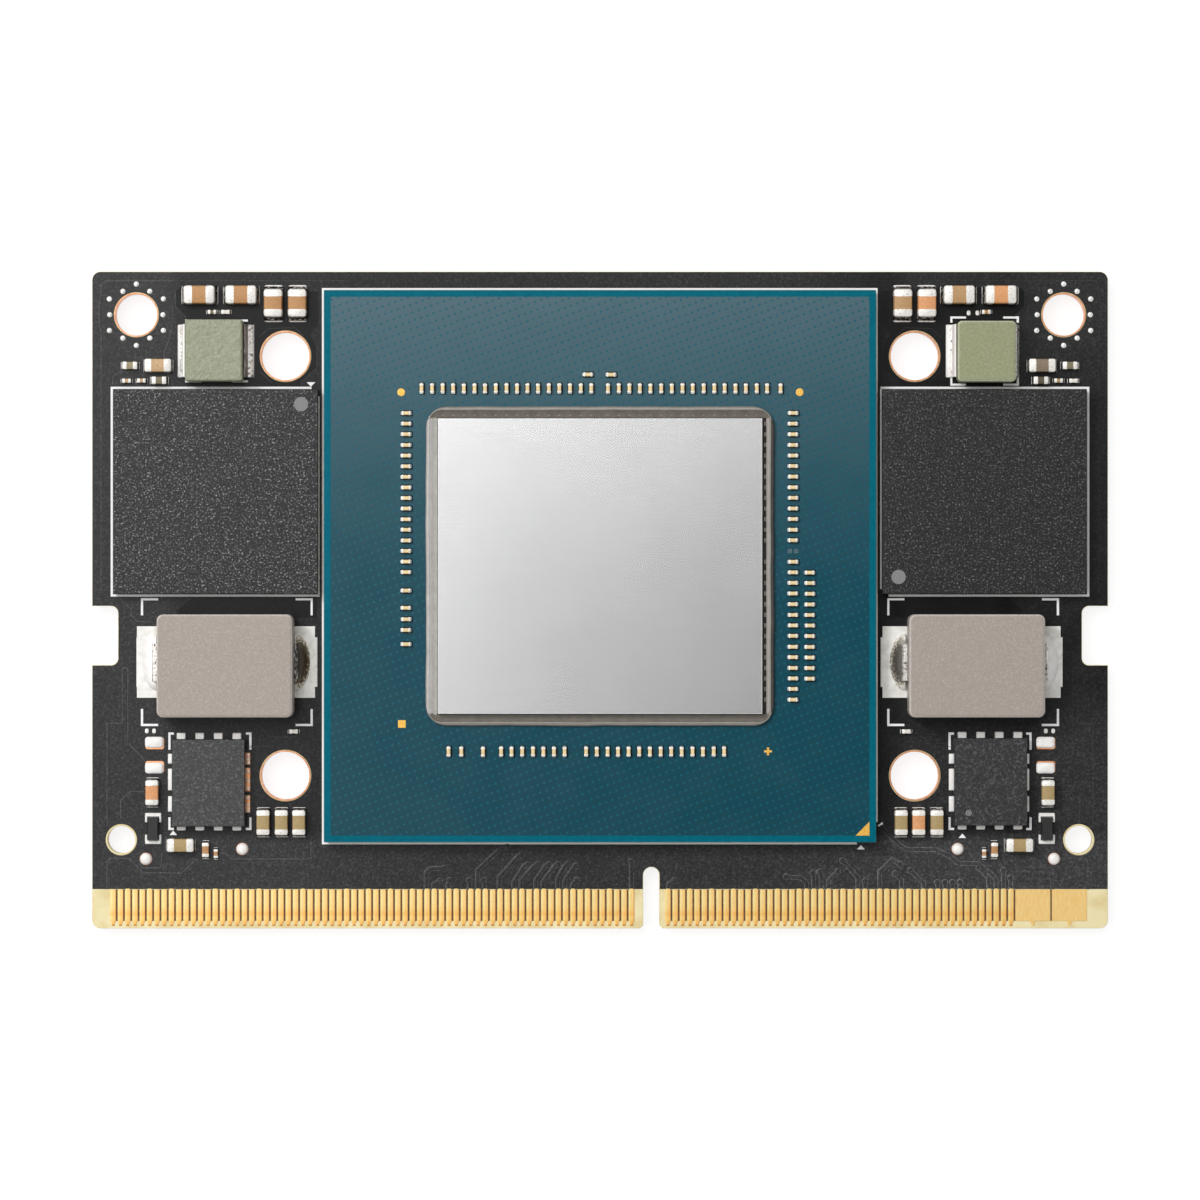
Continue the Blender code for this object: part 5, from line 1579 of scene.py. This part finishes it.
def ball(mesh, centre, radius, low, high):
    """A solder ball squeezed between a package and the board."""
    middle = (low + high) / 2
    profile = [(radius * 0.62, low), (radius, middle - 0.04), (radius, middle + 0.04),
               (radius * 0.62, high)]
    turned(mesh, centre, profile, 8)


def ball_rows(mesh, centre, size, pitch, radius, low, high):
    """The outer rows of a square ball field, and a plain core in place of the hidden ones."""
    count = int((size - 1.2 * pitch) / pitch) + 1
    start = -(count - 1) * pitch / 2
    for i in range(count):
        for j in range(count):
            if min(i, j, count - 1 - i, count - 1 - j) < BALL_ROWS:
                place = (centre[0] + start + i * pitch, centre[1] + start + j * pitch)
                ball(mesh, place, radius, low, high)
    core_size = size - 2 * (0.6 * pitch + BALL_ROWS * pitch)
    block(mesh, rounded(centre, core_size, core_size, 0.3), low, high, 1)


# %% Memory packages
MEMORY = 13.96
MEMORY_LOW = 2.0
MEMORY_LAYER = 2.22
MEMORY_TOP = 2.78
DOTS = {"left": (-20.43, 13.39), "right": (20.4, 1.58)}
ball_shade = new_material("ball_field_shade", (38, 38, 40), 0.6, specular=0.3)
speckle(ball_shade, 0.4, [(0.3, (28, 28, 30)), (0.7, (52, 52, 54))])
for side_name, side in SIDES:
    node = "memory_" + side_name
    middle = (side * 26.29, 7.41)
    frame_line = rounded(middle, MEMORY, MEMORY, 0.05, 2)
    memory = bmesh.new()
    sheet(memory, [frame_line], MEMORY_LAYER, MEMORY_TOP - 0.03, 0.01, 0)
    inset_line = rounded(middle, MEMORY - 0.02, MEMORY - 0.02, 0.06, 2)
    sheet(memory, [inset_line, circle(DOTS[side_name], 0.49, 32)], MEMORY_TOP - 0.04, MEMORY_TOP,
          0.012, 0)
    turned(memory, DOTS[side_name], [(0.5, MEMORY_TOP - 0.035), (0.5, MEMORY_TOP - 0.018)], 32, 1)
    sheet(memory, [rounded(middle, MEMORY, MEMORY, 0.04, 2)], MEMORY_LOW, MEMORY_LAYER, 0.008, 2)
    add_piece("memory_body_" + side_name, memory,
              [MEMORY_LIT_AND_SHADED_SKINS[side_name], marking_grey, package_core], [node], 20)
    balls = bmesh.new()
    ball_rows(balls, middle, MEMORY - 0.36, 0.65, 0.19, SUNK, MEMORY_LOW + 0.01)
    add_piece("memory_balls_" + side_name, balls, [solder, ball_shade])

# %% [markdown]
# ## The processor package
#
# The substrate is a laminate with a bright teal border and a greyer inner field, because only the
# field has copper below its mask. The two are separate cut sheets, so the border is a real step.
# Rows of tiny capacitors surround the die; together with the gold comb they are the finest work
# on the module, so every one is drawn with its own metal ends.

# %% Substrate, border, field and balls
PACKAGE_HALF = 18.85
PACKAGE_Y = 2.31
PACKAGE_LOW = 2.1
PACKAGE_TOP = 3.2
PACKAGE_SUNK = PACKAGE_TOP - 0.01
BORDER = 0.46
package_middle = (0.0, PACKAGE_Y)
size = 2 * PACKAGE_HALF
substrate = bmesh.new()
sheet(substrate, [rounded(package_middle, size, size, 0.05, 2)], PACKAGE_LOW, PACKAGE_TOP - 0.03,
      0.015, 0)
field_size = size - 2 * BORDER
outer_line = rounded(package_middle, size - 0.02, size - 0.02, 0.05, 2)
inner_line = rounded(package_middle, field_size, field_size, 0.05, 2)
sheet(substrate, [outer_line, inner_line], PACKAGE_TOP - 0.035, PACKAGE_TOP - 0.012, 0.004, 1)
sheet(substrate, [inner_line], PACKAGE_TOP - 0.035, PACKAGE_TOP, 0.015, 2)
add_piece("package_substrate", substrate, [package_core, teal_border, teal_field],
          ["processor_substrate"], 20)

package_balls = bmesh.new()
ball_rows(package_balls, package_middle, size - 0.6, 0.8, 0.24, SUNK, PACKAGE_LOW + 0.01)
add_piece("package_balls", package_balls, [solder, ball_shade])

# %% Places of the tiny capacitors
CHIP_PITCH = 0.727
DIE_HALF_X = 11.125
DIE_HALF_Y = 10.15


def run(start, end):
    """Places one pitch apart, from start towards end and no further."""
    count = int(abs(end - start) / CHIP_PITCH + 0.5) + 1
    step = math.copysign(CHIP_PITCH, end - start)
    return [start + number * step for number in range(count)]


def package_chip_places():
    upper = run(-0.6, -DIE_HALF_X - 1.11) + run(0.55, DIE_HALF_X + 0.34) + [DIE_HALF_X + 1.25]
    lower = [x - DIE_HALF_X for x in (3.1, 1.62, 0.75)]
    lower += run(-2.42, 4.34 - DIE_HALF_X) + run(-0.94, DIE_HALF_X - 2.6)
    left = run(-0.41, DIE_HALF_Y + 0.35) + [-1.65, -2.86, -3.64, -4.37, -5.34]
    right = run(1.77, DIE_HALF_Y + 0.35) + run(0.31, 1.0 - DIE_HALF_Y)
    far_right = run(-0.43, 2.44 - DIE_HALF_Y)
    places = [(x, DIE_HALF_Y + 2.04, True) for x in upper]
    places += [(x, -DIE_HALF_Y - 2.55, True) for x in lower]
    places += [(x, DIE_HALF_Y + 2.99, False) for x in (-0.84, 0.76)]
    places += [(-DIE_HALF_X - 2.16, y, False) for y in left]
    places += [(DIE_HALF_X + 2.1, y, False) for y in right]
    places += [(DIE_HALF_X + 3.25, y, False) for y in far_right]
    return places


# %% Tiny capacitors of the package
TINY = (0.62, 0.29, 0.31)
TINY_CAP = 0.11
# the flat top of the clay takes a lighter cream clay, as painted light on the top
TINY_LIT_TOP = 3
TINY_FOOT = 0.27
FOOT_LENGTH = 0.15
# the left or lower foot is solder and the right or upper one a darker copy, painted shade
LIT_AND_SHADED_FEET = {-1: 2, 1: 4}
SHADOW_MARGIN = 0.06
TOWARDS_MIDDLE = 0.9957
package_chips = bmesh.new()
painted_chip_shadows = bmesh.new()


def tiny_spot(x, y):
    return Vector((x * TOWARDS_MIDDLE, (y + PACKAGE_Y) * TOWARDS_MIDDLE, PACKAGE_TOP + 0.01))


def painted_chip_shadow(spot, upright):
    """A dark plate round a tiny part, shifted to its right: a painted shadow."""
    length, width = TINY[0] + FOOT_LENGTH + SHADOW_MARGIN, TINY[1] + 2 * SHADOW_MARGIN
    across = (width, length) if upright else (length, width)
    block(painted_chip_shadows, rounded((spot.x + SHADOW_MARGIN / 2, spot.y), *across, 0.06, 2),
          PACKAGE_SUNK, PACKAGE_TOP + 0.003)


random.seed(11)
for x, y, upright in package_chip_places():
    nudge = Vector((random.uniform(-0.012, 0.012), random.uniform(-0.012, 0.012), 0.0))
    spot = tiny_spot(x, y) + nudge
    add_chip(package_chips, spot, TINY, TINY_CAP, upright, crown=TINY_LIT_TOP)
    painted_chip_shadow(spot, upright)
    for end in (-1, 1):
        foot = placed([(end * TINY[0] / 2, 0.0, 0.0)], spot, upright)[0]
        across = (TINY_FOOT, FOOT_LENGTH) if upright else (FOOT_LENGTH, TINY_FOOT)
        cushion(package_chips, foot[:2], *across, PACKAGE_TOP - 0.02, PACKAGE_TOP + 0.17, 0.06,
                LIT_AND_SHADED_FEET[end], 0.4)
add_piece("package_capacitors", package_chips,
          [tin, CERAMICS["tan"], solder, CERAMICS["cream"], solder_painted_shade])

# %% Empty place and gold marks
EMPTY_PLACE = (DIE_HALF_X + 2.1, 1.77 - CHIP_PITCH)
empty = tiny_spot(*EMPTY_PLACE)
pads = bmesh.new()
for end in (-1, 1):
    block(pads, rounded((empty.x + end * 0.22, empty.y), 0.3, 0.3, 0.05, 2), PACKAGE_SUNK,
          PACKAGE_TOP + 0.004)
add_piece("empty_package_pads", pads, [dull_pad])
# the painted shadows of the tiny capacitors
add_piece("package_painted_chip_shadows", painted_chip_shadows, [chip_shadow_paint])

MARK_TOP = PACKAGE_TOP + 0.02
marks = bmesh.new()
for x in (-DIE_HALF_X - 2.45, DIE_HALF_X + 2.5):
    turned(marks, (x, PACKAGE_Y + DIE_HALF_Y + 1.72),
           [(0.27, PACKAGE_SUNK), (0.26, PACKAGE_TOP + 0.018), (0.2, MARK_TOP)], 28)
block(marks, rounded((-DIE_HALF_X - 2.4, PACKAGE_Y - DIE_HALF_Y - 0.62), 0.52, 0.52, 0.02, 1),
      PACKAGE_SUNK, MARK_TOP)
cross = (DIE_HALF_X + 0.34, PACKAGE_Y - DIE_HALF_Y - 2.49)
arm, reach = 0.075, 0.27
plus = []
for turn in range(4):
    spin = Matrix.Rotation(turn * math.pi / 2, 2)
    for point in ((reach, -arm), (reach, arm), (arm, arm)):
        moved = spin @ Vector(point)
        plus.append((cross[0] + moved.x, cross[1] + moved.y))
block(marks, plus, PACKAGE_SUNK, MARK_TOP)
corner_x, corner_y = PACKAGE_HALF - 0.46, PACKAGE_Y - PACKAGE_HALF + 0.46
block(marks, [(corner_x - 0.95, corner_y), (corner_x, corner_y), (corner_x, corner_y + 0.95)],
      PACKAGE_SUNK, MARK_TOP)
add_piece("package_marks", marks, [mark_gold])

# %% [markdown]
# ## The bare die and its underfill
#
# The die is a slab of silicon, ground flat and bare. Resin was drawn under it and stands round it
# as a glossy frame: rolled over outside, highest a little way in, and sunk to a shallow trough
# beside the die. A skin through many rounded rings gives that roll, and a little noise lets it
# swell here and there as a liquid does.

# %% Die
die_spot, die_size = span("processor_die")
DIE_TRIM = 0.14
die_length, die_width = die_size.x - DIE_TRIM, die_size.y - DIE_TRIM - 0.03
die = bmesh.new()
sheet(die, [rounded((die_spot.x, die_spot.y), die_length, die_width, 0.04, 2)],
      die_spot.z, die_spot.z + die_size.z, 0.035)
add_piece("silicon_die", die, [silicon], ["processor_die"], 20)

# %% Underfill
RESIN_SPREAD = 0.85
RESIN_PROFILE = (
    (1.0, 0.0), (0.985, 0.12), (0.955, 0.21), (0.91, 0.28), (0.86, 0.325), (0.8, 0.352),
    (0.74, 0.362), (0.68, 0.356), (0.62, 0.33), (0.54, 0.3), (0.44, 0.28), (0.34, 0.268),
    (0.24, 0.262), (0.14, 0.26), (0.06, 0.26), (0.03, 0.24), (0.03, 0.0),
)
ROLL_STEPS = 7
LEFT_ROLL_STEPS = 10
DARK_STEP = 14
RIGHT_DARK_STEP = 11
RIGHT_DIM_STEPS = 7
# slots, in the order of the finishes of the frame: lit and shaded copies of the resin, painted as
# light and shade band by band
RESIN, SHADED_TROUGH, LINE, LIT, BRIGHT, MIRRORED, DIM = range(7)


def long_rounded(centre, length, width, radius, steps, along):
    """A rounded rectangle with extra points along its sides."""
    corners = rounded(centre, length, width, radius, steps)
    per = steps + 1
    points = []
    for number in range(4):
        own = corners[number * per:(number + 1) * per]
        following = corners[((number + 1) * per) % len(corners)]
        points += own
        last = own[-1]
        for i in range(1, along):
            share = i / along
            points.append((last[0] + (following[0] - last[0]) * share,
                           last[1] + (following[1] - last[1]) * share))
    return points


underfill = bmesh.new()
rings = []
for share, height in RESIN_PROFILE:
    spread = RESIN_SPREAD * share
    outline = long_rounded((die_spot.x, die_spot.y), die_length + 2 * spread,
                           die_width + 2 * spread, max(0.03, 1.5 * share ** 1.6), 6, 26)
    ring = []
    for x, y in outline:
        swell = noise.noise(Vector((x * 0.55, y * 0.55, 3.0))) * 0.05 * share
        outward = Vector((x - die_spot.x, y - die_spot.y)).normalized() * swell
        ring.append((x + outward.x, y + outward.y, PACKAGE_TOP + 0.01 + height * (1 + swell)))
    rings.append(ring)
faces = loft(underfill, rings, ends=False)
around = len(rings[0])
# each side and band takes a painted copy: highlight on the left roll, light in the left trough, shade
# in the other troughs, a shade line beside the die and a shaded outer roll on the right
for number, face in enumerate(faces):
    step = number // around
    middle = face.calc_center_median()
    beside = abs(middle.y - die_spot.y) < die_width / 2
    on_left = beside and middle.x < die_spot.x - die_length / 2
    on_right = beside and middle.x > die_spot.x + die_length / 2
    if step >= (RIGHT_DARK_STEP if on_right else DARK_STEP):
        face.material_index = LINE
    elif step >= (LEFT_ROLL_STEPS if on_left else ROLL_STEPS):
        face.material_index = LIT if on_left else RESIN if on_right else SHADED_TROUGH
    elif on_left and step >= 2:
        face.material_index = BRIGHT
    elif on_right and step < RIGHT_DIM_STEPS:
        face.material_index = DIM

# %% Glints in the trough, one for each tiny capacitor that it mirrors
GLINT_OUT = 0.22
GLINT = (0.12, 0.05)
DASH = (0.05, 0.3)
DASH_SHIFT = 0.045
glint_box = (PACKAGE_TOP + 0.31 - 0.02, PACKAGE_TOP + 0.31)
for x, y, upright in package_chip_places():
    spot = tiny_spot(x, y)
    if upright and y > 0:
        place = (spot.x, die_spot.y + die_width / 2 + GLINT_OUT)
        if abs(spot.x) < die_length / 2:
            block(underfill, rounded(place, *GLINT, 0.02, 1), *glint_box, MIRRORED)
    elif not upright and DIE_HALF_X + 2.0 < x < DIE_HALF_X + 2.2:
        place = (die_spot.x + die_length / 2 + GLINT_OUT, spot.y)
        if abs(spot.y - die_spot.y) < die_width / 2:
            for shift in (-DASH_SHIFT, DASH_SHIFT):
                dash = rounded((place[0] + shift, place[1]), *DASH, 0.02, 1)
                block(underfill, dash, *glint_box, MIRRORED)
add_piece("underfill_frame", underfill,
          [resin, resin_trough_painted_shade, resin_line_painted_shade, resin_lit, resin_painted_highlight_left, resin_glint, resin_painted_shade_right],
          ["processor_underfill"], 60)

# %% [markdown]
# ## The underside
#
# Nothing of the underside is in the photograph. Such modules have a second row of contacts, which
# is already drawn, and capacitors below the processor, which smooth its supply. They are the same
# chip parts as on top, turned upside down, and nothing else is added there.

# %% Capacitors below the processor
UNDER_SIZE = (1.0, 0.5, 0.5)
UNDER_CAP = 0.26
UNDER_STEP = (2.6, 3.6)
under_chips = bmesh.new()
for column in range(8):
    for row in range(4):
        x, y = (column - 3.5) * UNDER_STEP[0], PACKAGE_Y + (row - 1.5) * UNDER_STEP[1]
        spot = Vector((x, y, BOARD_TOP + 0.05))
        add_chip(under_chips, spot, UNDER_SIZE, UNDER_CAP, True, FILLETS[1.0])
for vert in under_chips.verts:
    vert.co.z = BOARD_LOW - (vert.co.z - BOARD_TOP)
add_piece("underside_capacitors", under_chips, [tin, CERAMICS["brown"], solder])

# %% [markdown]
# ## Floor, lamps and background
#
# The photograph has a white ground and soft light from the upper left, which fades across the die.
# Two big soft boxes beside the camera do that, because the silky die reflects their edges. A small
# one, which no mirror shows, adds the short shadows to the lower right. A grey card above the
# camera stands for the dark ceiling of the studio. The floor and the world are plain white where
# the camera or a reflection sees them, and the floor still takes a faint shadow.

# %% Floor
def plain_square(name, half, height, material):
    data = bpy.data.meshes.new(name)
    corners = [(-half, -half, height), (half, -half, height), (half, half, height),
               (-half, half, height)]
    data.from_pydata(corners, [], [(0, 1, 2, 3)])
    data.materials.append(material)
    square = bpy.data.objects.new(name, data)
    bpy.context.scene.collection.objects.link(square)
    return square


def seen_directly(tree):
    """1 for rays from the camera, from a mirror or through glass."""
    path = tree.nodes.new("ShaderNodeLightPath")
    total = path.outputs["Is Camera Ray"]
    for ray in ("Is Glossy Ray", "Is Transmission Ray"):
        larger = tree.nodes.new("ShaderNodeMath")
        larger.operation = "MAXIMUM"
        tree.links.new(total, larger.inputs[0])
        tree.links.new(path.outputs[ray], larger.inputs[1])
        total = larger.outputs[0]
    return total


FLOOR_GLOW = 0.84
floor_paint = new_material("floor_paint", (150, 150, 150), 0.9, specular=0.0)
floor_shader = shader_of(floor_paint)
floor_shader.inputs["Emission Color"].default_value = (1.0, 1.0, 1.0, 1.0)
seen = seen_directly(floor_paint.node_tree)
glow = compute(floor_paint, "MULTIPLY", seen, {1: FLOOR_GLOW})
join(floor_paint, glow, floor_shader.inputs["Emission Strength"])
plain_square("floor", 1.5, -0.00005, floor_paint)

# %% World and lamps
WORLD_LIGHT = 0.43
world = bpy.data.worlds.new("studio")
world.use_nodes = True
bpy.context.scene.world = world
tree = world.node_tree
background = tree.nodes["Background"]
background.inputs["Color"].default_value = (1.0, 1.0, 1.0, 1.0)
strength = tree.nodes.new("ShaderNodeMapRange")
strength.inputs["To Min"].default_value = WORLD_LIGHT
strength.inputs["To Max"].default_value = 1.0
tree.links.new(seen_directly(tree), strength.inputs["Value"])
tree.links.new(strength.outputs["Result"], background.inputs["Strength"])

SOFTBOXES = {
    "left_softbox": (Vector((-0.165, 0.02, 0.42)), 0.24, 0.36, 0.52, True),
    "top_softbox": (Vector((-0.09, 0.175, 0.42)), 0.34, 0.24, 0.69, True),
    "shadow_softbox": (Vector((-0.25, 0.2, 0.35)), 0.08, 0.08, 0.66, False),
}
for name, (place, length, width, power, reflected) in SOFTBOXES.items():
    lamp_data = bpy.data.lights.new(name, "AREA")
    lamp_data.shape = "RECTANGLE"
    lamp_data.size = length
    lamp_data.size_y = width
    lamp_data.energy = power
    lamp = bpy.data.objects.new(name, lamp_data)
    lamp.visible_glossy = reflected
    away = place.normalized()
    side_way = Vector((0.0, 1.0, 0.0)).cross(away).normalized()
    lamp.matrix_world = Matrix.Translation(place) @ Matrix((
        side_way, away.cross(side_way), away)).transposed().to_4x4()
    bpy.context.scene.collection.objects.link(lamp)

card_paint = new_material("card_grey", (90, 90, 90), 0.9, specular=0.0)
card = plain_square("ceiling_card", 0.32, 0.55, card_paint)
card.visible_camera = False
print(len(SOFTBOXES), "soft boxes, world", WORLD_LIGHT)
